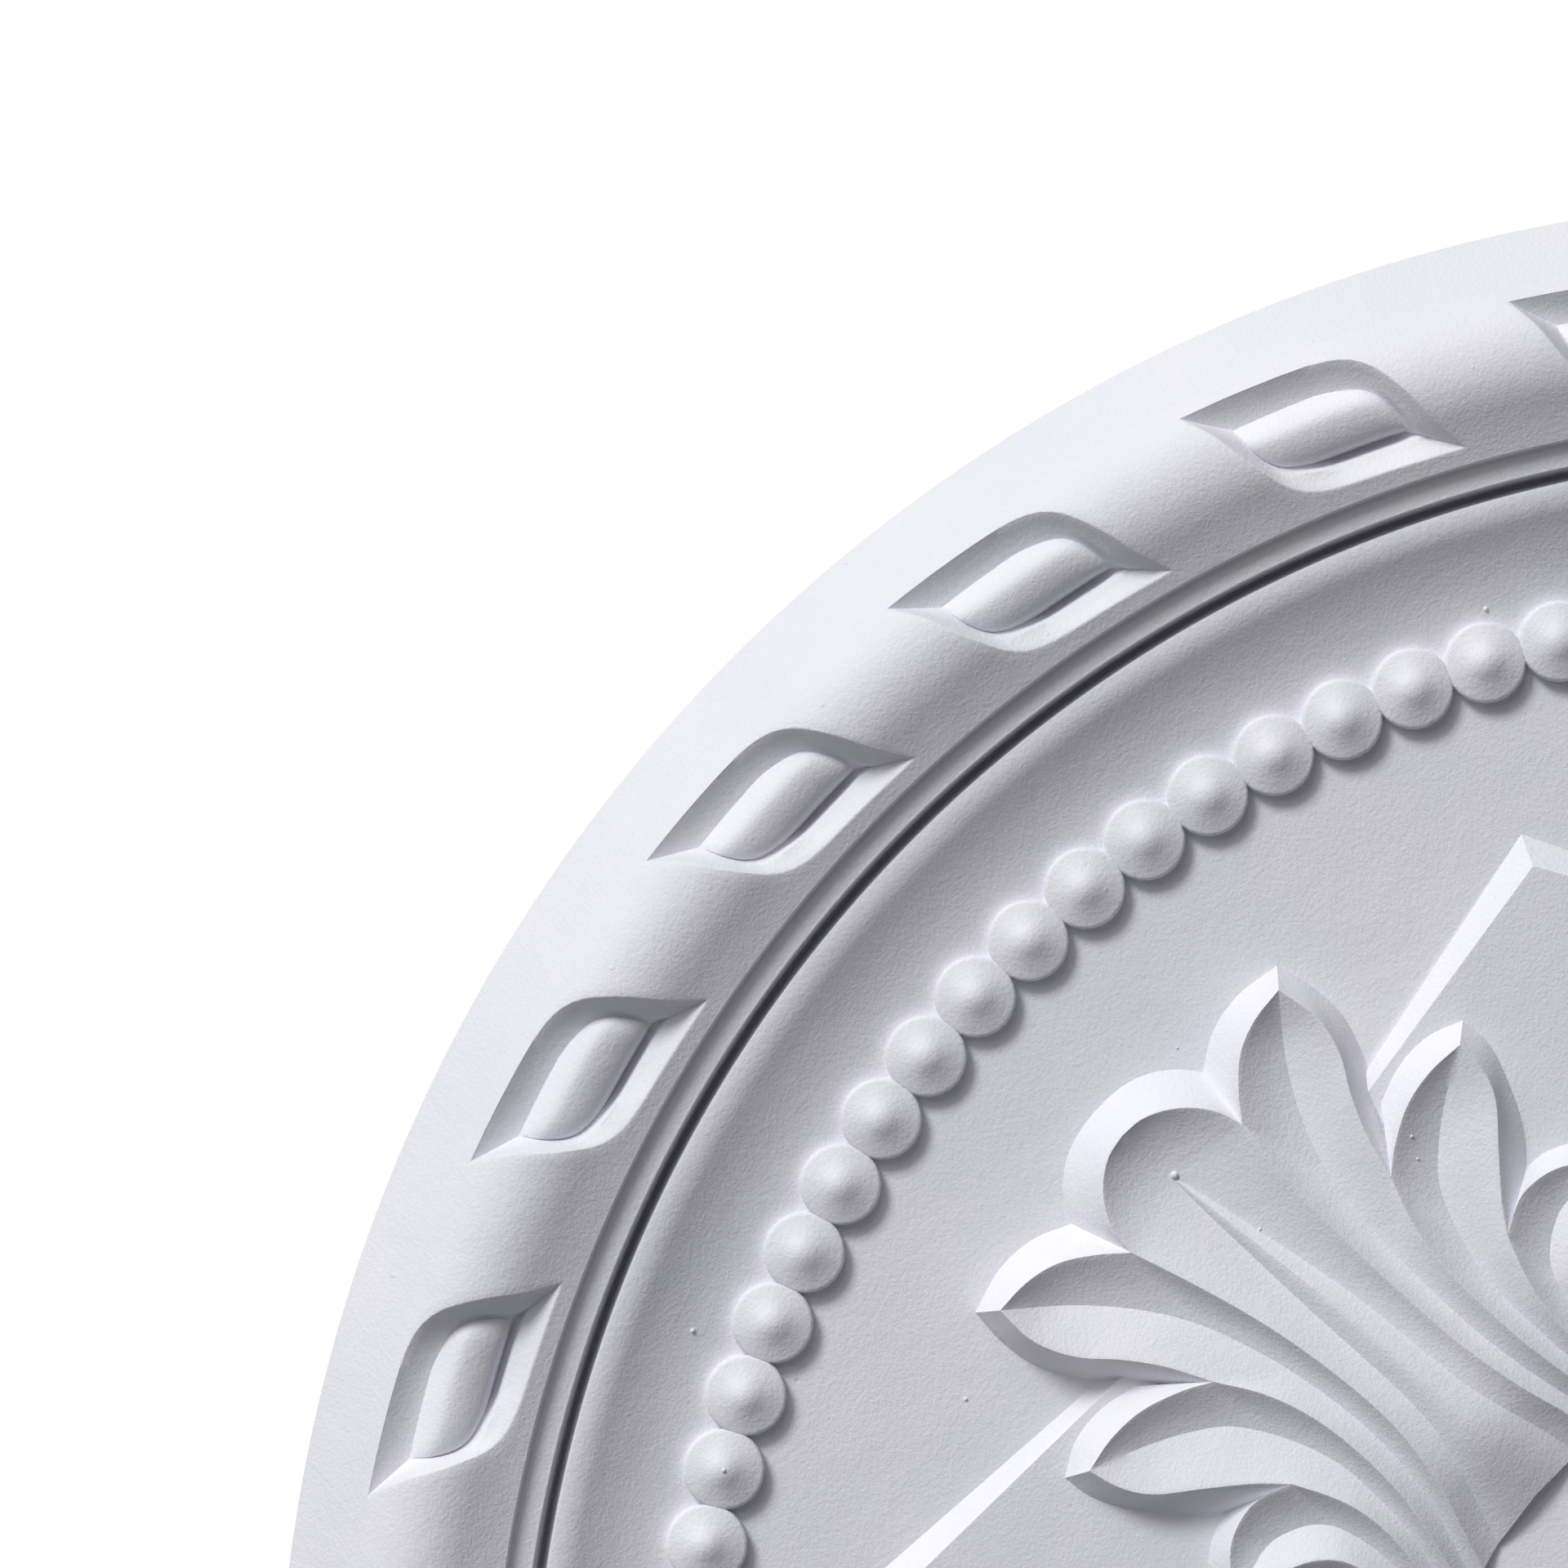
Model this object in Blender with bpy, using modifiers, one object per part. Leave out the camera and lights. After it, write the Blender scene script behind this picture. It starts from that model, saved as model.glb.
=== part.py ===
"""Round plaster ceiling medallion, cast in one piece.

It is modelled face up, with its flat back at height 0 and its centre on the vertical axis,
and then turned upright: the back lies in the plane y = 0 and the ornament faces -Y.
A sloping rim carries a roll cut with slanting panels, each round a half-round stick. Inside
it come a cove, a groove, a small roll that sweeps down to the flat field, a ring of beads, a low
six-pointed star, six leaves whose stems close in on the centre, and a plain round boss.
"""

import math

import bpy
import bmesh
from mathutils import Matrix, Vector

PART_NAME = "medallion"
PLASTER_COLOUR = (0.80, 0.80, 0.84, 1.0)
PLASTER_ROUGHNESS = 0.75

# Turned body: radii from the centre and heights above the flat back, in metres. Each place
# follows from the one outside it, from the rim inwards.
RIM_RADIUS = 0.300
RIM_WIDTH = 0.0105
RIM_EDGE_HEIGHT = 0.0100
RIM_EDGE_ROUND = 0.0007
ROLL_CREST_HEIGHT = 0.026
ROLL_SECTION_RADIUS = 0.0165
ROLL_OUTER_ANGLE = math.radians(61.5)
ROLL_INNER_ANGLE = math.radians(27)
ROLL_FLARE_WIDTH = 0.0087
ROLL_FOOT_ANGLE = math.radians(19)
ROLL_EDGE_WIDTH = 0.0005
ROLL_EDGE_DROP = 0.0019
COVE_WIDTH = 0.0041
COVE_SAG = 0.0003
LEDGE_WIDTH = 0.0006
LEDGE_RISE = 0.0018
GROOVE_DEPTH = 0.0075
GROOVE_FLOOR_WIDTH = 0.0003
GROOVE_SIDE_WIDTH = 0.0012
SMALL_ROLL_SECTION_RADIUS = 0.0083
SMALL_ROLL_OUTER_ANGLE = math.radians(8)
SWEEP_WIDTH = 0.0275
SWEEP_ANGLE = math.radians(32)
FIELD_HEIGHT = 0.008
ROLL_CREST_RADIUS = RIM_RADIUS - RIM_WIDTH - ROLL_SECTION_RADIUS * math.sin(ROLL_OUTER_ANGLE)
ROLL_FOOT_RADIUS = (ROLL_CREST_RADIUS - ROLL_SECTION_RADIUS * math.sin(ROLL_INNER_ANGLE)
                    - ROLL_FLARE_WIDTH)
LEDGE_OUTER_RADIUS = ROLL_FOOT_RADIUS - ROLL_EDGE_WIDTH - COVE_WIDTH
GROOVE_INNER_RADIUS = LEDGE_OUTER_RADIUS - LEDGE_WIDTH - GROOVE_FLOOR_WIDTH - 2 * GROOVE_SIDE_WIDTH
SMALL_ROLL_CREST_RADIUS = (GROOVE_INNER_RADIUS
                           - SMALL_ROLL_SECTION_RADIUS * math.sin(SMALL_ROLL_OUTER_ANGLE))
SWEEP_INNER_RADIUS = SMALL_ROLL_CREST_RADIUS - SWEEP_WIDTH

# Slanting panels on the roll, and the stick in each
PANEL_PITCH = 0.0638
PANEL_PHASE = math.radians(2.2)
PANEL_INSET = 0.0006
PANEL_HALF_LENGTH = 0.0250
PANEL_HALF_WIDTH = 0.0122
PANEL_CUT_CLEARANCE = 0.0024
STICK_HALF_LENGTH = 0.0150
STICK_SHIFT = 0.0010
STICK_HALF_WIDTH = 0.00615
STICK_FOOT_HEIGHT = 0.0180
STICK_RISE = 0.0043
PANEL_RADIUS = ROLL_CREST_RADIUS - PANEL_INSET
PANEL_COUNT = round(math.tau * PANEL_RADIUS / PANEL_PITCH)

# The panel's edge from its outer tip over the rim's side, and from its inner tip back, the
# latter turned by half a turn, as shares of its half length and half width. The stick's end
# is the same at both ends, turned by half a turn. The stick's section runs from its outer foot
# to its inner foot, in shares of its half width and of its height above the inner foot.
PANEL_EDGE_OUT = ((-1.0, 1.0), (0.15, 0.95), (0.42, 0.78), (0.585, 0.40), (0.69, 0.0),
                  (0.82, -0.53))
PANEL_EDGE_BACK = ((-1.0, 1.0), (-0.1, 0.95), (0.30, 0.74), (0.56, 0.36), (0.70, 0.03),
                   (0.84, -0.42))
STICK_END = ((0.1, 1.0), (0.5, 0.88), (0.70, 0.60), (0.80, 0.34), (0.92, -0.20), (0.98, -0.60),
             (1.02, -1.0))
STICK_SECTION = ((1.0, 0.14), (0.62, 0.67), (0.25, 0.99), (-0.25, 0.91), (-0.80, 0.56),
                 (-1.0, 0.0))

# Ring of beads on the field
BEAD_PITCH = 0.0148
BEAD_PHASE = math.radians(0.2)
BEAD_INSET = 0.0008
BEAD_RADIUS = 0.00785
BEAD_SHOULDER = 0.95
BEAD_SHOULDER_HEIGHT = 0.0029
BEAD_HEIGHT = 0.0058
BEAD_SIDES = 6
BEAD_MARGIN = 0.0003
BEAD_RING_RADIUS = SWEEP_INNER_RADIUS - BEAD_INSET
BEAD_COUNT = round(math.tau * BEAD_RING_RADIUS / BEAD_PITCH)

# Leaves, drawn on a scale of their own, on which they reach out to DRAWN_REACH, rise by
# DRAWN_RISE above the field and have their stems end on a circle of DRAWN_FOOT
LEAF_COUNT = 6
LEAF_PHASE = math.radians(90)
LEAF_GAP = 0.0323
LEAF_RISE = 0.012
LEAF_BOW = 0.0025
LEAF_FOOT_SINK = 0.0004
LEAF_REACH = SWEEP_INNER_RADIUS - LEAF_GAP
DRAWN_REACH = 190
DRAWN_RISE = 12
DRAWN_FOOT = 78

# Low star under the leaves, with a sloping edge, and the plain boss in the middle
STAR_TIP_INSET = 0.002
STAR_NOTCH_SHARE = 0.8
STAR_RISE = 0.0032
STAR_EDGE_RUN = 0.0034
STAR_TIP_RADIUS = LEAF_REACH - STAR_TIP_INSET
STAR_NOTCH_RADIUS = STAR_NOTCH_SHARE * STAR_TIP_RADIUS
BOSS_RADIUS = 0.050
BOSS_RISE = 0.0045
BOSS_EDGE_ROUND = 0.0020

# How far each carved piece reaches into the body, and how finely the round forms are divided
SINK = 0.003
BODY_SEGMENTS = 56
BOSS_SEGMENTS = 32
ROLL_STEPS = 5
HOLLOW_STEPS = 2
SMOOTH_ANGLE = math.radians(28)
CURVE_PARTS = 8
SEAM_MERGE = 0.00001
DRAWN_MERGE = 0.01
DRAWN_SAME_PLACE = 1e-6

# The hollow beside a leaf's rib lies midway and sinks by this share of its width. The bow's
# factor makes its greatest value 1.
HOLLOW_PLACE = 0.5
HOLLOW_SAG = 0.05
BOW_FACTOR = 27 / 4

# Lines of the half leaf on its own scale: (outward, sideways, height), from foot to end.
# The foot of a line is given by its angle from the leaf's axis and its height.
RIB_CREST = ((0, 6.2), (85, 0, 9.0), (92, 0, 11.3), (98, 0, 12), (110, 0, 11.4),
             (130, 0, 9.4), (150, 0, 7.2), (171, 0, 4.6))
RIB_FOOT = ((8.5, 4.4), (85.4, 9.4, 6.6), (93.7, 6.9, 9.0), (101.5, 5.2, 9.6), (110, 4.4, 9.2),
            (123, 4.1, 8.0), (134, 3.6, 6.8), (150, 2.3, 5.5), (165, 0.9, 4.7), (171, 0, 4.6))
HEAD_AXIS = ((171, 0, 4.6), (175, 0, 5.2), (179, 0, 6.6), (183, 0, 9))
RIDGES = (
    ((12.5, 6.2), (85, 14.7, 8.9), (92, 12.6, 10.6), (100, 11, 11.4), (110, 9.9, 11.3),
     (125, 10.1, 10.7), (140, 11.3, 10), (155, 13.7, 9.4), (167, 16.2, 9)),
    ((17.3, 5.9), (90, 19.9, 9.4), (100, 18.6, 10.6), (110, 18.4, 10.7), (120, 19.1, 10.3),
     (130, 21.6, 9.9), (139, 25.9, 9.4)),
    ((21.3, 5.4), (90, 25.9, 8.6), (100, 26.2, 9.8), (107, 28, 10.1), (114.8, 31.4, 9.9)),
)
VALLEYS = (
    ((15, 3.5), (90, 16.4, 6.6), (100, 14.6, 7.7), (110, 13.9, 7.6), (122, 14.3, 6.9),
     (135, 15.9, 6.1), (148, 19, 5.4), (158, 23.6, 4.9), (166, 29, 4.7), (172, 34.1, 5.4),
     (178.7, 40.6, 9)),
    ((19.5, 3.3), (90, 22.9, 6.1), (100, 22.3, 6.7), (110, 22.5, 6.6), (120, 25.1, 6.1),
     (130, 30, 5.7), (136, 36.5, 5.8), (141, 44.5, 6.9), (145.7, 54, 10)),
    ((23.2, 3.2), (90, 29.4, 5.6), (100, 30.9, 6.1), (105, 33.2, 6.1), (108.6, 37.8, 6.1),
     (110.4, 44, 6.6), (108.5, 54, 9.4)),
)
STEM_EDGE = ((25, 4.8), (80, 33.2, 7), (90, 33.6, 8.8), (97, 35.3, 9.6), (102, 39.5, 9.8),
             (105.5, 46, 9.8), (108.5, 54, 9.4))

# Free edges between a notch and a tip, and the line where the wall below each meets the ground
HEAD_EDGE = ((167, 16.2, 9), (172, 15.2, 9), (176.5, 12.6, 9), (180, 9, 9), (182.3, 4.7, 9),
             (183, 0, 9))
HEAD_GROUND = ((179.5, 19.4), (184, 16.2), (187.6, 11.5), (189.5, 6), (190, 0))
UPPER_EDGES = (
    ((167, 16.2, 9), (172, 21, 9), (176.3, 26.7, 9), (178.4, 33.3, 9), (178.7, 40.6, 9)),
    ((139, 25.9, 9.4), (142.5, 31.3, 9.5), (145.7, 38.8, 9.7), (146.6, 46.5, 9.9),
     (145.7, 54, 10)),
    ((114.8, 31.4, 9.9), (117.8, 38.7, 9.7), (117, 45.5, 9.6), (113.8, 50.6, 9.5),
     (108.5, 54, 9.4)),
)
UPPER_GROUNDS = (
    ((179.5, 19.4), (183, 26.5), (183.9, 35), (181.8, 44.3)),
    ((150.5, 37), (152.2, 44.5), (151.6, 52), (148.3, 58.6)),
    ((121, 45.2), (119.6, 50), (115.8, 55), (109.2, 58.5)),
)
LOWER_EDGES = (
    ((139, 25.9, 9.4), (147.5, 29.2, 9.2), (155, 33.5, 9.1), (162, 38.5, 9), (170, 41.2, 9),
     (178.7, 40.6, 9)),
    ((114.8, 31.4, 9.9), (120.3, 36, 9.9), (127, 43, 9.9), (133.4, 49.8, 9.9),
     (139, 52.8, 9.9), (145.7, 54, 10)),
)
LOWER_GROUNDS = (
    ((150.5, 37), (158, 41.5), (166, 45), (174, 45.5), (181.8, 44.3)),
    ((121, 45.2), (125, 49.7), (131.6, 54), (141.3, 58.2), (148.3, 58.6)),
)
STEM_GROUND = ((28,), (80, 37.2), (89, 37.6), (95, 40.5), (99.5, 47.5), (109.2, 58.5))

# Steps along the leaf's lines: from the foot to each notch, and from the foot to each tip
RIDGE_STEPS = (5, 3, 2)
LOBE_STEPS = (8, 6, 5)
HEAD_STEPS = 3


def clear_scene():
    for old in list(bpy.data.objects):
        bpy.data.objects.remove(old)


def make_plaster():
    plaster = bpy.data.materials.new("plaster")
    plaster.use_nodes = True
    shader = plaster.node_tree.nodes["Principled BSDF"]
    shader.inputs["Base Color"].default_value = PLASTER_COLOUR
    shader.inputs["Roughness"].default_value = PLASTER_ROUGHNESS
    shader.inputs["Metallic"].default_value = 0.0
    return plaster


def make_collection(name):
    collection = bpy.data.collections.new(name)
    bpy.context.scene.collection.children.link(collection)
    return collection


def add_object(name, mesh, collection, frame):
    """Add an object on a mesh, held by the frame that stands the face-up model upright."""
    made = bpy.data.objects.new(name, mesh)
    collection.objects.link(made)
    made.parent = frame
    return made


def mesh_from(bm, name):
    """Turn a bmesh into a smoothly shaded mesh with its faces pointing out."""
    bmesh.ops.recalc_face_normals(bm, faces=bm.faces)
    mesh = bpy.data.meshes.new(name)
    bm.to_mesh(mesh)
    bm.free()
    mesh.shade_smooth()
    mesh.set_sharp_from_angle(angle=SMOOTH_ANGLE)
    return mesh


def arc(centre, radius, start, end, steps):
    """Points (radius, height) on an arc whose angles are measured from straight up, outwards."""
    angles = [start + (end - start) * step / steps for step in range(steps + 1)]
    return [(centre[0] + radius * math.sin(a), centre[1] + radius * math.cos(a)) for a in angles]


def small_roll_height():
    """Two arcs of the same angle join the small roll's crest to the field."""
    return FIELD_HEIGHT + SWEEP_WIDTH * math.tan(SWEEP_ANGLE / 2)


def roll_height(radius):
    """Height of the roll above the back: an arc over its crest, then a flare inwards."""
    across = radius - ROLL_CREST_RADIUS
    on_arc = max(across, -ROLL_SECTION_RADIUS * math.sin(ROLL_INNER_ANGLE))
    fall = ROLL_SECTION_RADIUS - math.sqrt(max(ROLL_SECTION_RADIUS ** 2 - on_arc ** 2, 0))
    inward = on_arc - across
    slope = math.tan(ROLL_INNER_ANGLE)
    bend = (slope - math.tan(ROLL_FOOT_ANGLE)) / (2 * ROLL_FLARE_WIDTH)
    return ROLL_CREST_HEIGHT - fall - inward * (slope - bend * inward)


def body_profile():
    """Section of the turned body, from the middle of the face over the rim to the back."""
    hollow_width = SWEEP_WIDTH - SMALL_ROLL_SECTION_RADIUS * math.sin(SWEEP_ANGLE)
    hollow_radius = hollow_width / math.sin(SWEEP_ANGLE)
    level_width = BEAD_RADIUS + BEAD_MARGIN - BEAD_INSET
    level_angle = math.asin(level_width / hollow_radius)
    hollow = arc((SWEEP_INNER_RADIUS, FIELD_HEIGHT + hollow_radius), hollow_radius,
                 math.pi - level_angle, math.pi - SWEEP_ANGLE, HOLLOW_STEPS)
    hollow[0] = (SWEEP_INNER_RADIUS + level_width, FIELD_HEIGHT)
    crest = small_roll_height()
    small_roll = arc((SMALL_ROLL_CREST_RADIUS, crest - SMALL_ROLL_SECTION_RADIUS),
                     SMALL_ROLL_SECTION_RADIUS, -SWEEP_ANGLE, SMALL_ROLL_OUTER_ANGLE,
                     HOLLOW_STEPS)
    ledge = crest + LEDGE_RISE
    foot = roll_height(ROLL_FOOT_RADIUS)
    cove = foot - ROLL_EDGE_DROP
    groove = []
    radius = GROOVE_INNER_RADIUS
    for step, height in ((GROOVE_SIDE_WIDTH, crest - GROOVE_DEPTH),
                         (GROOVE_FLOOR_WIDTH, crest - GROOVE_DEPTH),
                         (GROOVE_SIDE_WIDTH, ledge), (LEDGE_WIDTH, ledge),
                         (COVE_WIDTH / 2, (ledge + cove) / 2 - COVE_SAG), (COVE_WIDTH / 2, cove),
                         (ROLL_EDGE_WIDTH, foot)):
        radius += step
        groove.append((radius, height))
    roll = arc((ROLL_CREST_RADIUS, ROLL_CREST_HEIGHT - ROLL_SECTION_RADIUS),
               ROLL_SECTION_RADIUS, -ROLL_INNER_ANGLE, ROLL_OUTER_ANGLE, ROLL_STEPS)
    rim = [(RIM_RADIUS - RIM_EDGE_ROUND, RIM_EDGE_HEIGHT),
           (RIM_RADIUS, RIM_EDGE_HEIGHT - RIM_EDGE_ROUND), (RIM_RADIUS, 0)]
    return hollow + small_roll[1:] + groove + roll + rim


def make_body(collection, frame, plaster):
    """Turn the section, then close the flat field and the flat back with one face each."""
    points = [(radius, 0, height) for radius, height in body_profile()]
    section = bpy.data.meshes.new("section")
    section.from_pydata(points, [(i, i + 1) for i in range(len(points) - 1)], [])
    turned = bpy.data.objects.new("section", section)
    collection.objects.link(turned)
    turn = turned.modifiers.new("Turn", "SCREW")
    turn.steps = BODY_SEGMENTS
    turn.render_steps = BODY_SEGMENTS
    turn.use_merge_vertices = True
    turn.merge_threshold = SEAM_MERGE
    turn.use_smooth_shade = False
    depsgraph = bpy.context.evaluated_depsgraph_get()
    bm = bmesh.new()
    bm.from_object(turned, depsgraph)
    bpy.data.objects.remove(turned)
    bmesh.ops.holes_fill(bm, edges=[edge for edge in bm.edges if edge.is_boundary], sides=0)
    mesh = mesh_from(bm, PART_NAME)
    mesh.materials.append(plaster)
    return add_object(PART_NAME, mesh, collection, frame)


def panel_point(along, outward, height):
    """A point of a panel, bent round the ring, from its distances clockwise and outwards."""
    angle = -along / PANEL_RADIUS
    radius = PANEL_RADIUS + outward
    return Vector((radius * math.cos(angle), radius * math.sin(angle), height))


def stick_reach(out):
    """How far along the panel the stick reaches clockwise, at a share of its half width."""
    for (along, high), (further, low) in zip(STICK_END, STICK_END[1:]):
        if low <= out <= high:
            return along + (further - along) * (high - out) / (high - low)
    return STICK_END[0][0] if out > 0 else STICK_END[-1][0]


def stick_rows():
    """Both ends of each line along the stick, from its outer foot over its crest to the inner."""
    rows = []
    for out, rise in STICK_SECTION:
        height = STICK_FOOT_HEIGHT + rise * STICK_RISE
        rows.append([panel_point(reach * STICK_HALF_LENGTH - STICK_SHIFT, out * STICK_HALF_WIDTH,
                                 height)
                     for reach in (-stick_reach(-out), stick_reach(out))])
    return rows


def make_panel_cutter_mesh():
    """Loft from the outline of the stick up through the panel's edge, to above the roll.

    The underside is hollowed by the stick, so that the cut leaves the stick standing.
    """
    bm = bmesh.new()
    rows = [[bm.verts.new(point) for point in row] for row in stick_rows()]
    low = [rows[0][0]] + [row[1] for row in rows] + [row[0] for row in rows[:0:-1]]
    high = []
    edge_shares = PANEL_EDGE_OUT + tuple((-along, -out) for along, out in PANEL_EDGE_BACK)
    for foot, (along, out) in zip(low, edge_shares, strict=True):
        height = roll_height(PANEL_RADIUS + out * PANEL_HALF_WIDTH)
        edge = panel_point(along * PANEL_HALF_LENGTH, out * PANEL_HALF_WIDTH, height)
        stretch = 1 + PANEL_CUT_CLEARANCE / (height - foot.co.z)
        high.append(bm.verts.new(foot.co.lerp(edge, stretch)))
    top = bm.verts.new((PANEL_RADIUS, 0, ROLL_CREST_HEIGHT + 2 * PANEL_CUT_CLEARANCE))
    for i in range(len(low)):
        j = (i + 1) % len(low)
        bm.faces.new((low[i], low[j], high[j], high[i]))
        bm.faces.new((high[i], high[j], top))
    for row, following in zip(rows, rows[1:]):
        bm.faces.new((row[0], row[1], following[1], following[0]))
    return mesh_from(bm, "panel_cutter")


def make_bead_mesh():
    """A bead with a peaked top, its flat sides facing its neighbours, sunk in the field."""
    bm = bmesh.new()
    depth = BEAD_SHOULDER_HEIGHT + SINK / 2
    place = Matrix.Translation((BEAD_RING_RADIUS, 0, FIELD_HEIGHT - SINK / 2 + depth / 2))
    turn = Matrix.Rotation(math.pi / 2, 4, "Z")
    bmesh.ops.create_cone(bm, cap_ends=True, segments=BEAD_SIDES, radius1=BEAD_RADIUS,
                          radius2=BEAD_RADIUS * BEAD_SHOULDER, depth=depth, matrix=place @ turn)
    top = max(bm.faces, key=lambda face: face.calc_center_median().z)
    bmesh.ops.poke(bm, faces=[top], offset=BEAD_HEIGHT - BEAD_SHOULDER_HEIGHT)
    return mesh_from(bm, "bead")


def add_ring(name, mesh, count, phase, collection, frame, plaster=None):
    """Place copies of a mesh evenly round the centre."""
    if plaster is not None:
        mesh.materials.append(plaster)
    for index in range(count):
        copy = add_object(f"{name}_{index:02d}", mesh, collection, frame)
        copy.rotation_euler.z = phase + index * math.tau / count


def make_star_mesh():
    """A plate with a sloping edge, its notches on the leaves' axes."""
    bm = bmesh.new()
    corners = []
    for index in range(2 * LEAF_COUNT):
        radius = STAR_TIP_RADIUS if index % 2 else STAR_NOTCH_RADIUS
        angle = LEAF_PHASE + index * math.pi / LEAF_COUNT
        corners.append(bm.verts.new((radius * math.cos(angle), radius * math.sin(angle),
                                     FIELD_HEIGHT - SINK)))
    base = bm.faces.new(corners)
    raised = bmesh.ops.extrude_face_region(bm, geom=[base])
    top = [face for face in raised["geom"] if isinstance(face, bmesh.types.BMFace)]
    bmesh.ops.translate(bm, verts=top[0].verts, vec=(0, 0, SINK))
    bmesh.ops.inset_region(bm, faces=top, thickness=STAR_EDGE_RUN, depth=0)
    bmesh.ops.translate(bm, verts=top[0].verts, vec=(0, 0, STAR_RISE))
    return mesh_from(bm, "star")


def make_boss(collection, frame, plaster):
    """A plain disc with a rounded edge, on the star's level."""
    bottom = FIELD_HEIGHT - SINK
    top = FIELD_HEIGHT + STAR_RISE + BOSS_RISE
    bm = bmesh.new()
    bmesh.ops.create_cone(bm, cap_ends=True, segments=BOSS_SEGMENTS, radius1=BOSS_RADIUS,
                          radius2=BOSS_RADIUS, depth=top - bottom,
                          matrix=Matrix.Translation((0, 0, (top + bottom) / 2)))
    edges = [edge for edge in bm.edges if all(v.co.z > bottom + SINK for v in edge.verts)]
    bmesh.ops.bevel(bm, geom=edges, offset=BOSS_EDGE_ROUND, segments=1, profile=0.5,
                    affect="EDGES", material=-1)
    mesh = mesh_from(bm, "boss")
    mesh.materials.append(plaster)
    add_object("boss", mesh, collection, frame)


def leaf_foot(angle, height):
    """A point of the leaf's own scale on the circle where the stems end."""
    turn = math.radians(angle)
    return Vector((DRAWN_FOOT * math.cos(turn), DRAWN_FOOT * math.sin(turn), height))


def leaf_knots(line):
    """The knots of a leaf line as vectors. A knot of two numbers opens a line at the foot."""
    first = leaf_foot(*line[0]) if len(line[0]) == 2 else Vector(line[0])
    return [first] + [Vector(knot) for knot in line[1:]]


def smooth_line(knots, steps):
    """Points at even distances along a smooth curve through the knots."""
    fine = [knots[0]]
    ends = [knots[0] * 2 - knots[1]] + knots + [knots[-1] * 2 - knots[-2]]
    for before, start, end, after in zip(ends, ends[1:], ends[2:], ends[3:]):
        for part in range(1, CURVE_PARTS + 1):
            t = part / CURVE_PARTS
            fine.append(0.5 * (2 * start + (end - before) * t
                               + (2 * before - 5 * start + 4 * end - after) * t ** 2
                               + (3 * start - before - 3 * end + after) * t ** 3))
    lengths = [0.0]
    for start, end in zip(fine, fine[1:]):
        lengths.append(lengths[-1] + (end - start).length)
    points = []
    reached = 0
    for step in range(steps + 1):
        target = lengths[-1] * step / steps
        while reached < len(fine) - 2 and lengths[reached + 1] < target:
            reached += 1
        share = (target - lengths[reached]) / (lengths[reached + 1] - lengths[reached])
        points.append(fine[reached].lerp(fine[reached + 1], share))
    return points


def leaf_line(line, steps):
    return smooth_line(leaf_knots(line), steps)


def ground_line(line, steps, height):
    """Where a wall meets the ground. A knot of one number is an angle on the foot circle."""
    knots = [leaf_foot(*knot, height) if len(knot) == 1 else Vector((*knot, height))
             for knot in line]
    return smooth_line(knots, steps)


def add_strip(bm, first, second):
    """Faces between two lines of the same number of points."""
    for a, b, c, d in zip(first, first[1:], second[1:], second):
        corners = [a]
        for corner in (b, c, d):
            if all((corner - known).length > DRAWN_SAME_PLACE for known in corners):
                corners.append(corner)
        if len(corners) > 2:
            bm.faces.new([bm.verts.new(corner) for corner in corners])


def between(first, second, share, sag):
    """A line between two others, sunk by a share of their distance, for a hollow."""
    return [a.lerp(b, share) - Vector((0, 0, sag * (a - b).length)) for a, b in zip(first, second)]


def leaf_bow(outward):
    """Share of the sideways bow: none at the foot and the tip, and 1 a third of the way out."""
    along = (outward - DRAWN_FOOT) / (DRAWN_REACH - DRAWN_FOOT)
    return BOW_FACTOR * along * (1 - along) ** 2


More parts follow.
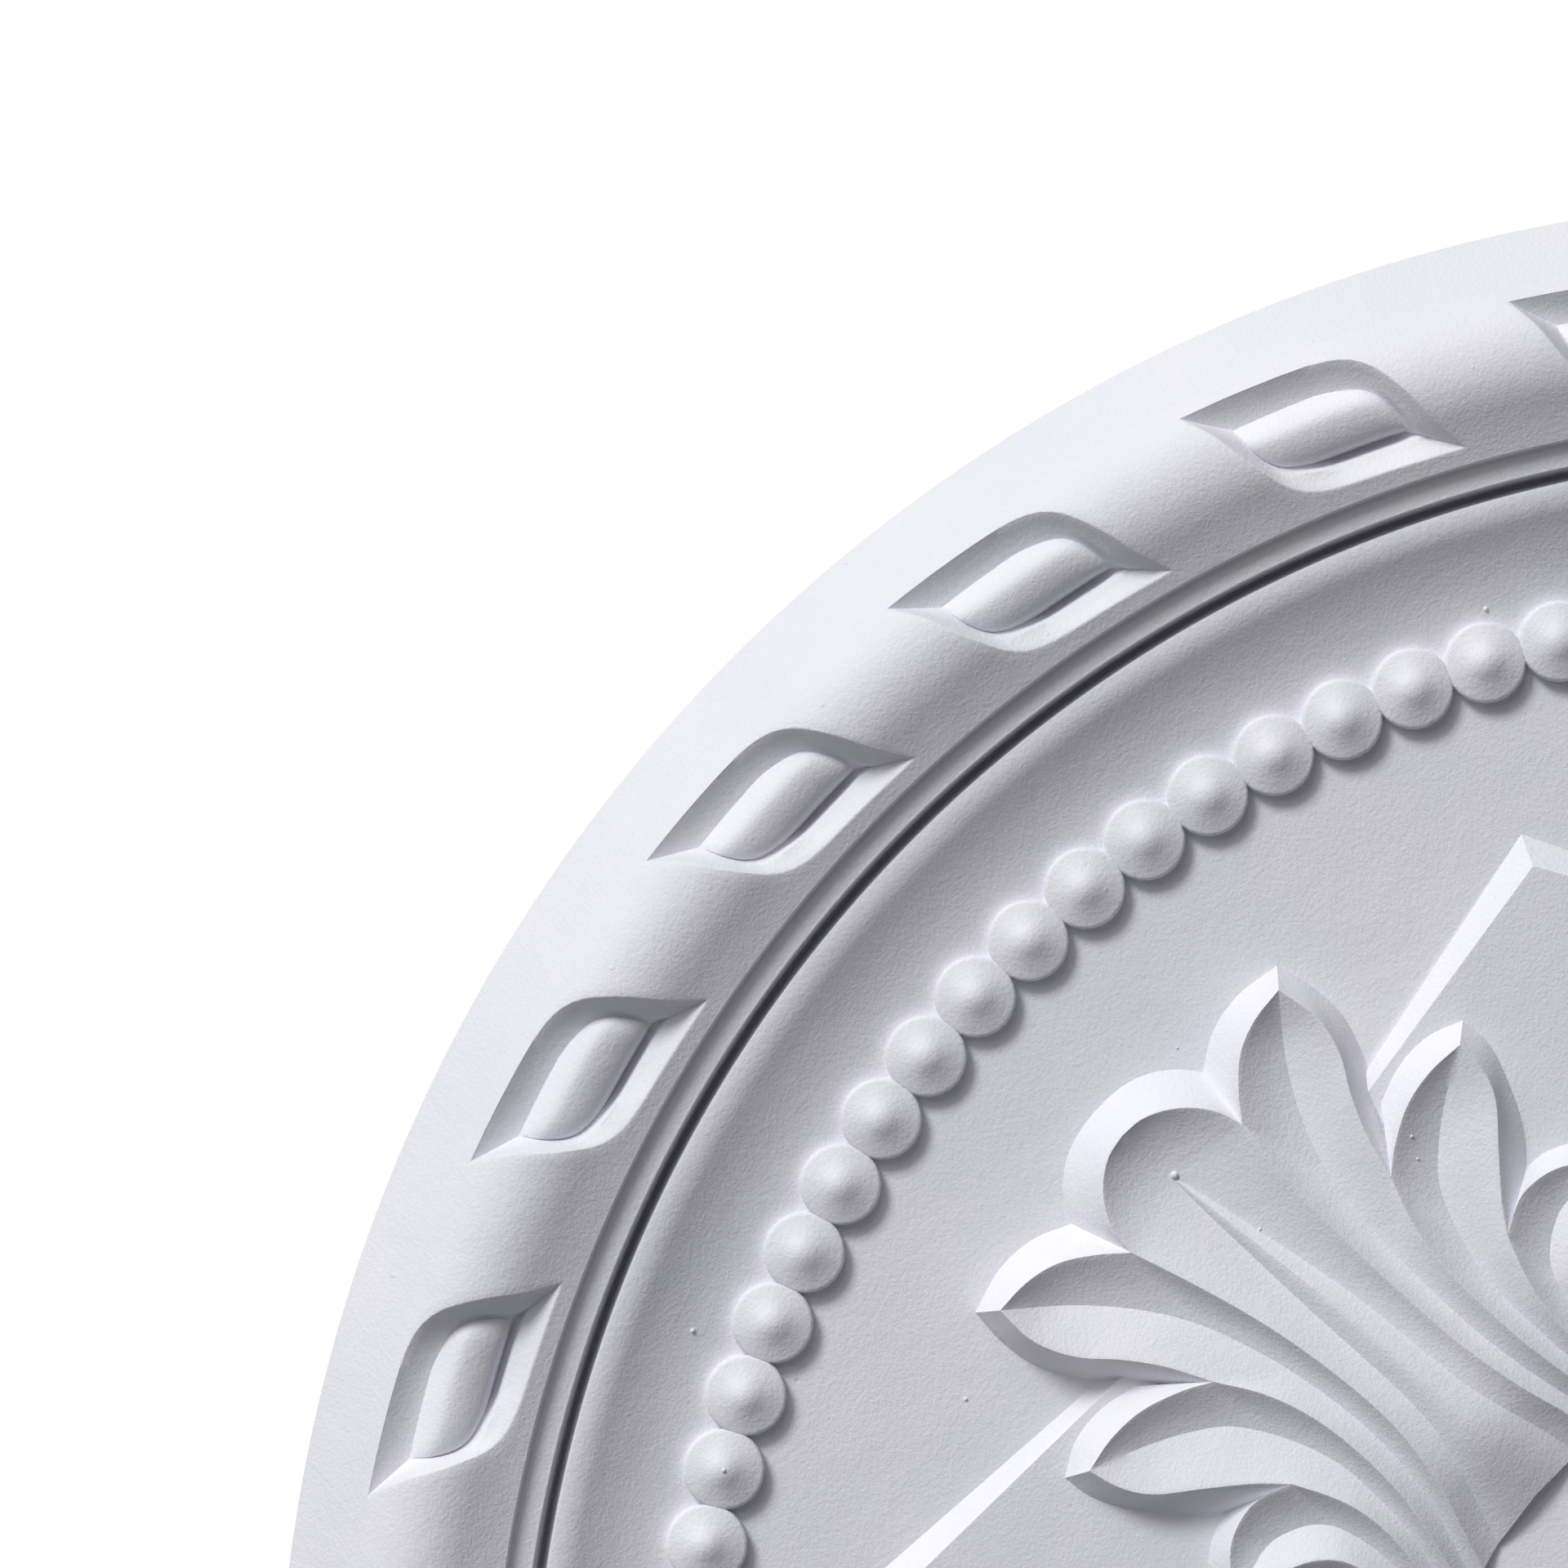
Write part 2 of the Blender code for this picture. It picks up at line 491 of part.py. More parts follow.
def make_leaf_mesh():
    """One leaf: strips between its ridges and valleys, walls round its lobes, and a skirt."""
    field = -LEAF_FOOT_SINK * DRAWN_RISE / LEAF_RISE
    star = field + STAR_RISE * DRAWN_RISE / LEAF_RISE
    bm = bmesh.new()
    ridges = [leaf_line(line, steps) for line, steps in zip(RIDGES, RIDGE_STEPS)]

    rib_foot = leaf_line(RIB_FOOT, RIDGE_STEPS[0])
    add_strip(bm, leaf_line(RIB_CREST, RIDGE_STEPS[0]), rib_foot)
    head_edge = leaf_line(HEAD_EDGE, HEAD_STEPS)
    inner = rib_foot + leaf_line(HEAD_AXIS, HEAD_STEPS)[1:]
    outer = ridges[0] + head_edge[1:]
    hollow = between(inner, outer, HOLLOW_PLACE, HOLLOW_SAG)
    add_strip(bm, inner, hollow)
    add_strip(bm, hollow, outer)
    add_strip(bm, head_edge, ground_line(HEAD_GROUND, HEAD_STEPS, field))

    for lobe, steps in enumerate(LOBE_STEPS):
        valley = leaf_line(VALLEYS[lobe], steps)
        ground = field if lobe == 0 else star
        free = steps - RIDGE_STEPS[lobe]
        upper = leaf_line(UPPER_EDGES[lobe], free)
        add_strip(bm, ridges[lobe] + upper[1:], valley)
        add_strip(bm, upper, ground_line(UPPER_GROUNDS[lobe], free, ground))
        if lobe < len(LOWER_EDGES):
            free = steps - RIDGE_STEPS[lobe + 1]
            lower = leaf_line(LOWER_EDGES[lobe], free)
            add_strip(bm, valley, ridges[lobe + 1] + lower[1:])
            add_strip(bm, lower, ground_line(LOWER_GROUNDS[lobe], free, ground))
        else:
            lower = leaf_line(STEM_EDGE, steps)
            add_strip(bm, valley, lower)
            add_strip(bm, lower, ground_line(STEM_GROUND, steps, star))

    bmesh.ops.remove_doubles(bm, verts=bm.verts, dist=DRAWN_MERGE)
    bmesh.ops.mirror(bm, geom=bm.verts[:] + bm.edges[:] + bm.faces[:], axis="Y",
                     merge_dist=DRAWN_MERGE)
    bmesh.ops.recalc_face_normals(bm, faces=bm.faces)
    rim = [edge for edge in bm.edges if edge.is_boundary]
    skirt = bmesh.ops.extrude_edge_only(bm, edges=rim)["geom"]
    for vert in (item for item in skirt if isinstance(item, bmesh.types.BMVert)):
        vert.co.z = -SINK * DRAWN_RISE / LEAF_RISE
    bmesh.ops.holes_fill(bm, edges=[edge for edge in bm.edges if edge.is_boundary], sides=0)

    for vert in bm.verts:
        outward, sideways, height = vert.co
        vert.co = (outward * LEAF_REACH / DRAWN_REACH,
                   sideways * LEAF_REACH / DRAWN_REACH - LEAF_BOW * leaf_bow(outward),
                   FIELD_HEIGHT + height * LEAF_RISE / DRAWN_RISE)
    return mesh_from(bm, "leaf")


def add_boolean(body, operation, collection):
    join = body.modifiers.new(collection.name, "BOOLEAN")
    join.operation = operation
    join.operand_type = "COLLECTION"
    join.collection = collection
    join.solver = "EXACT"


def hide_guides(collection):
    for guide in collection.objects:
        guide.hide_render = True
        guide.display_type = "WIRE"


def main():
    clear_scene()
    plaster = make_plaster()
    part = make_collection("ceiling_medallion")
    cutters = make_collection("panel_cutters")
    ornament = make_collection("ornament")
    frame = bpy.data.objects.new("upright_frame", None)
    part.objects.link(frame)
    frame.rotation_euler.x = math.pi / 2

    body = make_body(part, frame, plaster)
    add_ring("panel", make_panel_cutter_mesh(), PANEL_COUNT, PANEL_PHASE, cutters, frame)
    add_ring("bead", make_bead_mesh(), BEAD_COUNT, BEAD_PHASE, ornament, frame, plaster)
    add_ring("star", make_star_mesh(), 1, 0, ornament, frame, plaster)
    add_ring("leaf", make_leaf_mesh(), LEAF_COUNT, LEAF_PHASE, ornament, frame, plaster)
    make_boss(ornament, frame, plaster)
    add_boolean(body, "UNION", ornament)
    add_boolean(body, "DIFFERENCE", cutters)
    hide_guides(cutters)
    hide_guides(ornament)


main()
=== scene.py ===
"""Round plaster ceiling medallion, dressed for a close view of its face.

The medallion is one casting. It is built face up, with its flat back at height 0 and its centre
on the vertical axis, and every piece is then turned upright: the back lies in the plane y = 0
and the ornament faces -Y.
"""

import math

import bmesh
import bpy
from mathutils import Matrix, Vector
from mathutils.bvhtree import BVHTree


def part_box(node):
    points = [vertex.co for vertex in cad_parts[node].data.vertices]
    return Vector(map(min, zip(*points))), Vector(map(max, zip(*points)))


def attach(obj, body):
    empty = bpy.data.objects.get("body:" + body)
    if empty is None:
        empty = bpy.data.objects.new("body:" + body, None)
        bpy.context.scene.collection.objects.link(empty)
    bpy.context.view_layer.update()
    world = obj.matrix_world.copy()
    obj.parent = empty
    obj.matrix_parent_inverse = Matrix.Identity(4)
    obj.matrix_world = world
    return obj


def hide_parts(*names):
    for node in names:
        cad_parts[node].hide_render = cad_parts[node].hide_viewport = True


bl_info = {
    "name": "Ceiling Medallion",
    "version": (1, 0, 0),
    "blender": (4, 5, 0),
    "location": "3D View > Sidebar > Medallion",
    "description": "Builds a round plaster ceiling medallion with its plaster and a plain studio",
    "category": "Add Mesh",
}

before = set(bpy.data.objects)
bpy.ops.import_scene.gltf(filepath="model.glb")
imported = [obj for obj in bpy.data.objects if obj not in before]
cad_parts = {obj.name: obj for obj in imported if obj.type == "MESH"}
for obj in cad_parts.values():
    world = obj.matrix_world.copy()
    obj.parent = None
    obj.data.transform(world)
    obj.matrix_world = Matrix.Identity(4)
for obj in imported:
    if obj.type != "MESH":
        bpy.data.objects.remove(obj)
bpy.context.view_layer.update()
CAD_LOW, CAD_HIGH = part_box("medallion")
UPRIGHT = Matrix.Rotation(math.pi / 2, 3, "X")
PLASTER_NAME = "cast_plaster"

# Half of a border panel's edge and of its stick's outline, as shares of their half length and
# half width. The other half is the same turned by half a turn. The first and last points are
# sharp tips. The stick's section runs from its outer foot over the crest to its inner foot, in
# shares of its half width and of its height. The inner foot lies below the level that the
# height is measured from.
PANEL_EDGE = ((-1, 1), (-0.5, 0.985), (0.06, 0.95), (0.31, 0.85), (0.46, 0.66), (0.57, 0.39),
              (0.70, -0.03), (0.835, -0.545), (1, -1))
STICK_END = ((-1, 0.98), (-0.52, 1), (0.06, 1), (0.43, 0.84), (0.65, 0.63), (0.80, 0.26),
             (0.91, -0.26), (0.967, -0.68), (1, -0.98))
STICK_SECTION = ((1, 0.14), (0.62, 0.67), (0.34, 0.94), (0.12, 1), (-0.25, 0.91), (-0.55, 0.74),
                 (-0.80, 0.49), (-0.93, 0.12), (-1, -0.5))

# The knot where the long side of these outlines turns into their end, and how far round the
# end a corner of the border's repeat stands
PANEL_SHOULDER = 2
SHOULDER_TURN = math.radians(45)

# The wall between a stick and its panel's edge: the shares of its width where its lines lie,
# and those taken by the floor and the side of the crease beside the stick
WALL_SHARES = (0, 0.07, 0.14, 0.18, 0.22, 0.26, 0.3, 0.45, 0.7, 1)
CREASE_FLOOR = 0.14
CREASE_SIDE = 0.16

# Counts of lines, steps and samples
STICK_ROWS = 20
STICK_SPANS = 16
ROLL_RINGS = 7
END_SAMPLES = 240
SECTION_SAMPLES = 280
KNOT_PARTS = 16
SWEEP_STEPS = 14
SMALL_ROLL_STEPS = 10
COVE_STEPS = 8
BEAD_SPANS = 24
BOSS_SPANS = 96
TURNED_EDGE_STEPS = 3
PANEL_EDGE_STEPS = 2
BOSS_EDGE_STEPS = 6
BLEB_SUBDIVISIONS = 2

# Where the small roll's arc ends, outwards from its crest
SMALL_ROLL_END = math.radians(8)

# Edges that turn by more than this are softened, those of the panels only where they stand
# this many crease banks above the stick's foot
HARD_TURNED = math.radians(20)
HARD_PANEL = math.radians(18)
EDGE_CLEARANCE = 1.5

# Points closer than this become one, in metres and on the leaf's own scale
SEAM = 0.00001
BODY_SEAM = 0.00002
DRAWN_SEAM = 0.01

# Edges that turn by more than this many degrees are shaded as creases
CREASE = 34
STAR_CREASE = 8
LEAF_CREASE = 26

# Half of a bead's section, in shares of its radius and of its height
BEAD_SECTION = ((0, 1), (0.127, 0.979), (0.255, 0.921), (0.382, 0.831), (0.51, 0.741),
                (0.637, 0.666), (0.764, 0.597), (0.892, 0.534), (0.97, 0.48), (0.997, 0.3), (1, 0))

# Casting blebs: where each sits across and up the face, and its radius, all in millimetres
MILLIMETRES = 1000
BLEBS = ((-147, 86, 0.8), (-221, 14, 0.45), (-232, 39, 0.5), (-178, 36, 0.4), (-109, 204, 0.5),
         (-104, 102, 0.35), (-102, 98, 0.3), (-129, 79, 0.3), (-151, 110, 0.3))

# Lines of the half leaf on a scale of its own, (outward, sideways, height), from foot to end.
# A knot of two numbers lies on the foot circle: its angle in degrees, and its height.
DRAWN_REACH = 190
DRAWN_RISE = 12
DRAWN_FOOT = 78
RIB_CREST = ((0, 6.2), (85, 0, 9.0), (92, 0, 11.3), (98, 0, 12), (110, 0, 11.4),
             (130, 0, 9.4), (150, 0, 7.2), (171, 0, 4.6))
RIB_FOOT = ((8.5, 4.4), (85.4, 9.4, 6.6), (93.7, 6.9, 9.0), (101.5, 5.2, 9.6), (110, 4.4, 9.2),
            (123, 4.1, 8.0), (134, 3.6, 6.8), (150, 2.3, 5.5), (165, 0.9, 4.7), (171, 0, 4.6))
HEAD_AXIS = ((171, 0, 4.6), (175, 0, 5.2), (179, 0, 6.6), (183, 0, 9))
RIDGES = (
    ((12.5, 6.2), (85, 14.7, 8.9), (92, 12.6, 10.6), (100, 11, 11.4), (110, 9.9, 11.3),
     (125, 10.1, 10.7), (140, 11.3, 10), (155, 13.7, 9.4), (167, 16.2, 9)),
    ((17.3, 5.9), (90, 19.9, 9.4), (100, 18.6, 10.6), (110, 18.4, 10.7), (120, 19.1, 10.3),
     (130, 21.6, 9.9), (139, 25.9, 9.4)),
    ((21.3, 5.4), (90, 25.9, 8.6), (100, 26.2, 9.8), (107, 28, 10.1), (114.8, 31.4, 9.9)),
)
VALLEYS = (
    ((15, 3.5), (90, 16.4, 6.6), (100, 14.6, 7.7), (110, 13.9, 7.6), (122, 14.3, 6.9),
     (135, 15.9, 6.1), (148, 19, 5.4), (158, 23.6, 4.9), (166, 29, 4.7), (172, 34.1, 5.4),
     (178.7, 40.6, 9)),
    ((19.5, 3.3), (90, 22.9, 6.1), (100, 22.3, 6.7), (110, 22.5, 6.6), (120, 25.1, 6.1),
     (130, 30, 5.7), (136, 36.5, 5.8), (141, 44.5, 6.9), (145.7, 54, 10)),
    ((23.2, 3.2), (90, 29.4, 5.6), (100, 30.9, 6.1), (105, 33.2, 6.1), (108.6, 37.8, 6.1),
     (110.4, 44, 6.6), (108.5, 54, 9.4)),
)
STEM_EDGE = ((25, 4.8), (80, 33.2, 7), (90, 33.6, 8.8), (97, 35.3, 9.6), (102, 39.5, 9.8),
             (105.5, 46, 9.8), (108.5, 54, 9.4))
HEAD_EDGE = ((167, 16.2, 9), (172, 15.2, 9), (176.5, 12.6, 9), (180, 9, 9), (182.3, 4.7, 9),
             (183, 0, 9))
UPPER_EDGES = (
    ((167, 16.2, 9), (172, 21, 9), (176.3, 26.7, 9), (178.4, 33.3, 9), (178.7, 40.6, 9)),
    ((139, 25.9, 9.4), (142.5, 31.3, 9.5), (145.7, 38.8, 9.7), (146.6, 46.5, 9.9),
     (145.7, 54, 10)),
    ((114.8, 31.4, 9.9), (117.8, 38.7, 9.7), (117, 45.5, 9.6), (113.8, 50.6, 9.5),
     (108.5, 54, 9.4)),
)
LOWER_EDGES = (
    ((139, 25.9, 9.4), (147.5, 29.2, 9.2), (155, 33.5, 9.1), (162, 38.5, 9), (170, 41.2, 9),
     (178.7, 40.6, 9)),
    ((114.8, 31.4, 9.9), (120.3, 36, 9.9), (127, 43, 9.9), (133.4, 49.8, 9.9),
     (139, 52.8, 9.9), (145.7, 54, 10)),
)

# Where the wall below each free edge meets the ground, as (outward, sideways). A knot of one
# number lies on the foot circle: its angle.
HEAD_GROUND = ((179.5, 19.4), (184, 16.2), (187.6, 11.5), (189.5, 6), (190, 0))
UPPER_GROUNDS = (
    ((179.5, 19.4), (183, 26.5), (183.9, 35), (181.8, 44.3)),
    ((150.5, 37), (152.2, 44.5), (151.6, 52), (148.3, 58.6)),
    ((121, 45.2), (119.6, 50), (115.8, 55), (109.2, 58.5)),
)
LOWER_GROUNDS = (
    ((150.5, 37), (158, 41.5), (166, 45), (174, 45.5), (181.8, 44.3)),
    ((121, 45.2), (125, 49.7), (131.6, 54), (141.3, 58.2), (148.3, 58.6)),
)
STEM_GROUND = ((28,), (80, 37.2), (89, 37.6), (95, 40.5), (99.5, 47.5), (109.2, 58.5))

# Steps along the leaf's lines, from the foot to each notch and from the foot to each tip
RIDGE_STEPS = (30, 22, 17)
LOBE_STEPS = (46, 38, 32)
HEAD_STEPS = 16

# Shares of the width of a flank and of the rib where their lines lie, how soft a flank's ridge
# is, how far the flanks of the head and of the lobes sag, and how full the rib's section is
FLANK_SHARES = (0, 0.035, 0.08, 0.14, 0.22, 0.34, 0.5, 0.74, 1)
RIB_SHARES = (0, 0.2, 0.4, 0.6, 0.8, 1)
FLANK_SOFTNESS = 0.035
HEAD_SAG = 0.06
LOBE_SAG = 0.05
RIB_FULLNESS = 1.6

# Makes the greatest sideways bow of a leaf 1
BOW_FACTOR = 27 / 4

# The plaster's noises: scale, detail and roughness
WAVES_NOISE = (70, 5, 0.6)
GRAIN_NOISE = (1300, 4, 0.65)
STREAKS_NOISE = (1, 3, 0.6)
PATCHES_NOISE = (22, 4, 0.6)

# Heights of its waves, grain and streaks, and the turn and the size of the streaks
WAVES_HEIGHT = 0.0006
GRAIN_HEIGHT = 0.00032
STREAKS_HEIGHT = 0.00010
STREAKS_TURN = math.radians(38)
STREAKS_SIZE = (0.016, 0.016, 0.0014)

# Share of its casting marks that are pits, strength of its relief, the noise between which its
# colour changes, and how far its roughness falls and rises
PITS_SHARE = 0.35
RELIEF_STRENGTH = 0.6
PATCHES_START = 0.35
PATCHES_END = 0.7
ROUGHNESS_FALL = 0.06
ROUGHNESS_RISE = 0.08

FLOOR_REACH = 3
FLOOR_ROUGHNESS = 0.9
FILL_COLOUR = (0.97, 0.98, 1, 1)
BACKDROP_COLOUR = (1, 1, 1, 1)
SENSOR_WIDTH = 36
SIGHT_RANGE = 20


def number_property(name, description, default, **limits):
    return bpy.props.FloatProperty(name=name, description=description, default=default, **limits)


def length(name, description, default):
    return number_property(name, description, default, min=0, unit="LENGTH", precision=5)


def angle_property(name, description, degrees):
    return number_property(name, description, math.radians(degrees), subtype="ANGLE")


def count_property(name, description, default):
    return bpy.props.IntProperty(name=name, description=description, default=default, min=3)


def colour_property(name, description, default):
    return bpy.props.FloatVectorProperty(name=name, description=description, default=default,
                                         size=4, min=0, max=1, subtype="COLOR")


class MedallionBodySizes(bpy.types.PropertyGroup):
    rim_radius: length("Rim radius", "Radius of the whole medallion",
                       (CAD_HIGH[0] - CAD_LOW[0]) / 2)
    rim_width: length("Rim width", "Width of the sloping rim", 0.0105)
    rim_edge_height: length("Rim edge height", "Height of the rim's outer edge", 0.0100)
    crest_radius: length("Roll radius", "Distance of the roll's crest from the centre",
                         0.2750)
    crest_height: length("Roll height", "Height of the roll's crest", 0.026)
    roll_radius: length("Roll rounding", "Radius of the roll's section", 0.0165)
    roll_inner_angle: angle_property("Roll inner angle", "How far the arc turns inwards", 27)
    flare_width: length("Flare width", "Width of the flare inside that arc", 0.0087)
    roll_foot_angle: angle_property("Roll foot angle", "Slope at the inner end of the flare", 19)
    roll_edge_drop: length("Roll edge drop", "Height of the step at the flare", 0.0019)
    cove_width: length("Cove width", "Width of the cove inside the roll", 0.0044)
    cove_sag: length("Cove hollow", "How far the cove sags", 0.0001)
    ledge_width: length("Ledge width", "Width of the ledge by the groove", 0.0003)
    ledge_rise: length("Ledge rise", "How far the ledge lies above the small roll",
                       0.0018)
    groove_depth: length("Groove depth", "Depth of the groove", 0.0075)
    groove_floor: length("Groove floor", "Width of the groove's floor", 0.0003)
    groove_side: length("Groove side", "Width of each side of the groove", 0.0012)
    small_roll_radius: length("Small roll radius", "Distance of the small roll's crest "
                              "from the centre", 0.24976)
    small_roll_rounding: length("Small roll rounding", "Radius of its section", 0.0083)
    sweep_radius: length("Sweep radius", "Where the hollow sweep meets the field",
                         0.22226)
    sweep_angle: angle_property("Sweep angle", "Steepest slope of the hollow sweep", 32)
    field_height: length("Field height", "Height of the flat field", 0.008)
    edge_softness: length("Edge softness", "Rounding of the turned edges", 0.0002)


class MedallionPanelSizes(bpy.types.PropertyGroup):
    count: count_property("Panels", "Number of panels round the roll", 27)
    phase: angle_property("Phase", "Angle of the first panel", 2.2)
    radius: length("Ring radius", "Distance of the panels' middle from the centre",
                   0.2744)
    half_length: length("Half length", "Half the length of a panel's edge", 0.0245)
    half_width: length("Half width", "Half the width of a panel's edge", 0.0125)
    stick_half_length: length("Stick half length", "Half the stick's length", 0.0155)
    stick_half_width: length("Stick half width", "Half the stick's width", 0.00615)
    stick_shift: length("Stick shift", "How far the stick lies anticlockwise of the "
                        "panel's middle", 0.0010)
    stick_foot_height: length("Stick foot height", "Level that the stick's section is "
                              "measured from", 0.0180)
    stick_rise: length("Stick height", "Height of its crest above that level", 0.0043)
    stick_end_run: length("End rounding", "How far before its end the stick begins to "
                          "turn down", 0.005)
    stick_end_fall: number_property("End fall", "Share of its height that the stick loses at its "
                                    "end", 0.55)
    crease_bank: length("Crease bank", "Depth of the crease below the wall at the "
                        "stick's inner side", 0.0023)
    wall_sag: number_property("Wall hollow", "Hollow of the walls as a share of their width",
                              0.045)
    edge_softness: length("Edge softness", "Rounding of the panels' edges", 0.00045)


class MedallionBeadSizes(bpy.types.PropertyGroup):
    count: count_property("Beads", "Number of beads", 94)
    phase: angle_property("Phase", "Angle of the first bead", 0.2)
    ring_radius: length("Ring radius", "Distance of the beads from the centre", 0.2215)
    radius: length("Bead radius", "Radius of a bead", 0.00785)
    height: length("Bead height", "Height of a bead above the field", 0.0058)


class MedallionLeafSizes(bpy.types.PropertyGroup):
    count: count_property("Leaves", "Number of leaves", 6)
    phase: angle_property("Phase", "Angle of the first leaf", 90)
    reach: length("Reach", "Distance of a leaf's tip from the centre", 0.190)
    rise: length("Height", "Height of a leaf above the field", 0.012)
    bow: length("Bow", "Greatest sideways bow of the stems", 0.0025)
    foot_sink: length("Foot sink", "How far a leaf's foot goes below its ground", 0.0004)


class MedallionMiddleSizes(bpy.types.PropertyGroup):
    star_tip: length("Star tip radius", "Distance of the star's tips", 0.188)
    star_notch: length("Star notch radius", "Distance of the star's notches", 0.150)
    star_rise: length("Star height", "Height of the star above the field", 0.0032)
    star_tip_edge: length("Star edge at a tip", "How far the slope runs in at a tip",
                          0.0064)
    star_notch_edge: length("Star edge at a notch", "How far it runs in at a notch",
                            0.0004)
    star_ridge: length("Star ridge", "Height of the ridge along each arm", 0.0004)
    boss_radius: length("Boss radius", "Radius of the boss in the middle", 0.050)
    boss_rise: length("Boss height", "Height of the boss above the star", 0.0045)
    boss_softness: length("Boss rounding", "Rounding of the boss's edge", 0.002)
    sink: length("Sink", "How far each carved piece reaches into the body", 0.003)


class MedallionPlasterLook(bpy.types.PropertyGroup):
    light: colour_property("Plaster", "Colour of the clean plaster", (0.80, 0.795, 0.85, 1))
    dark: colour_property("Shaded plaster", "Colour of its duller patches",
                          (0.755, 0.755, 0.82, 1))
    roughness: number_property("Roughness", "Mean roughness", 0.62, min=0, max=1)
    bleb_spacing: length("Bleb spacing", "Mean distance of the casting marks", 0.010)
    bleb_size: length("Bleb size", "Radius of the largest casting marks", 0.0006)


class MedallionStudio(bpy.types.PropertyGroup):
    aim_x: number_property("Aim X", "Where the camera looks", -0.2348, unit="LENGTH")
    aim_z: number_property("Aim Z", "Where the camera looks", 0.1453, unit="LENGTH")
    view_width: length("View width", "Width of what the camera sees", 0.30084)
    view_distance: length("View distance", "Distance of the camera", 2.5)
    view_roll: angle_property("View roll", "Turn of the camera about its own axis", 11)
    lamp_turn: angle_property("Lamp turn", "Direction of the lamp round the picture", 136)
    lamp_lift: angle_property("Lamp lift", "Angle of the lamp above the medallion's face", 36)
    lamp_strength: number_property("Lamp strength", "Strength of the main light", 3.22, min=0)
    lamp_size: angle_property("Lamp size", "Apparent size of the lamp", 18)
    glow_share: number_property("Glow share", "Share of the main light that comes from the glow "
                                "round the lamp", 0.4, min=0, max=1)
    glow_size: angle_property("Glow size", "Apparent size of that glow", 62)
    fill_strength: number_property("Fill strength", "Light from all round", 0.12, min=0)
    floor_colour: colour_property("Floor", "Colour of the floor", (0.86, 0.86, 0.87, 1))


def arc(centre, radius, start, end, steps):
    """Points (radius, height) on an arc whose angles are measured from straight up, outwards."""
    angles = [start + (end - start) * step / steps for step in range(steps + 1)]
    return [(centre[0] + radius * math.sin(angle), centre[1] + radius * math.cos(angle))
            for angle in angles]


def sag_at(depth, share):
    """Depth of a hollow at a share of its width: none at its sides and all of it halfway."""
    return 4 * depth * share * (1 - share)


def small_roll_height(body):
    """Two arcs of the same angle join the small roll's crest to the field."""
    return body.field_height + ((body.small_roll_radius - body.sweep_radius)
                                * math.tan(body.sweep_angle / 2))


def roll_height(body, radius):
    """Height of the roll: an arc over its crest, then a hollow flare on its inner side."""
    across = radius - body.crest_radius
    on_arc = max(across, -body.roll_radius * math.sin(body.roll_inner_angle))
    fall = body.roll_radius - math.sqrt(body.roll_radius ** 2 - on_arc ** 2)
    inward = on_arc - across
    slope = math.tan(body.roll_inner_angle)
    bend = (slope - math.tan(body.roll_foot_angle)) / (2 * body.flare_width)
    return body.crest_height - fall - inward * (slope - bend * inward)


def roll_foot_radius(body):
    arc_end = body.crest_radius - body.roll_radius * math.sin(body.roll_inner_angle)
    return arc_end - body.flare_width


def roll_point(body, angle, radius):
    height = roll_height(body, radius)
    return Vector((radius * math.cos(angle), radius * math.sin(angle), height))


def inner_section(body):
    """Section from the edge of the field over the small roll and groove to the big roll."""
    extent = (body.small_roll_radius - body.sweep_radius
              - body.small_roll_rounding * math.sin(body.sweep_angle))
    hollow_radius = extent / math.sin(body.sweep_angle)
    hollow = arc((body.sweep_radius, body.field_height + hollow_radius), hollow_radius,
                 math.pi, math.pi - body.sweep_angle, SWEEP_STEPS)
    crest = small_roll_height(body)
    small_roll = arc((body.small_roll_radius, crest - body.small_roll_rounding),
                     body.small_roll_rounding, -body.sweep_angle, SMALL_ROLL_END,
                     SMALL_ROLL_STEPS)
    ledge = crest + body.ledge_rise
    floor = crest - body.groove_depth
    foot_radius = roll_foot_radius(body)
    foot = roll_height(body, foot_radius)
    groove = []
    radius = small_roll[-1][0]
    for step, height in ((body.groove_side, floor), (body.groove_floor, floor),
                         (body.groove_side, ledge), (body.ledge_width, ledge)):
        radius += step
        groove.append((radius, height))
    cove = []
    top = foot - body.roll_edge_drop
    for step in range(1, COVE_STEPS + 1):
        share = step / COVE_STEPS
        cove.append((radius + body.cove_width * share,
                     ledge + (top - ledge) * share - sag_at(body.cove_sag, share)))
    return hollow + small_roll[1:] + groove + cove + [(foot_radius, foot)]


def outer_section(body):
    """Section from the big roll down the sloping rim to the back."""
    start = body.rim_radius - body.rim_width
    return [(start, roll_height(body, start)), (body.rim_radius, body.rim_edge_height),
            (body.rim_radius, 0)]


def smooth_curve(knots, place):
    """A point on the smooth curve through the knots. Place counts knots from the first."""
    span = min(int(place), len(knots) - 2)
    t = place - span
    start, end = knots[span], knots[span + 1]
    before = knots[span - 1] if span > 0 else start * 2 - end
    after = knots[span + 2] if span + 2 < len(knots) else end * 2 - start
    return 0.5 * (2 * start + (end - before) * t
                  + (2 * before - 5 * start + 4 * end - after) * t ** 2
                  + (3 * start - before - 3 * end + after) * t ** 3)


def add_sheet(bm, lines):
    """A sheet of faces whose rows are the given lines of points."""
    grid = bmesh.ops.create_grid(bm, x_segments=len(lines[0]) - 1, y_segments=len(lines) - 1,
                                 size=1)["verts"]
    grid.sort(key=lambda vert: (round(vert.co.y, 5), round(vert.co.x, 5)))
    for vert, point in zip(grid, (point for line in lines for point in line), strict=True):
        vert.co = point


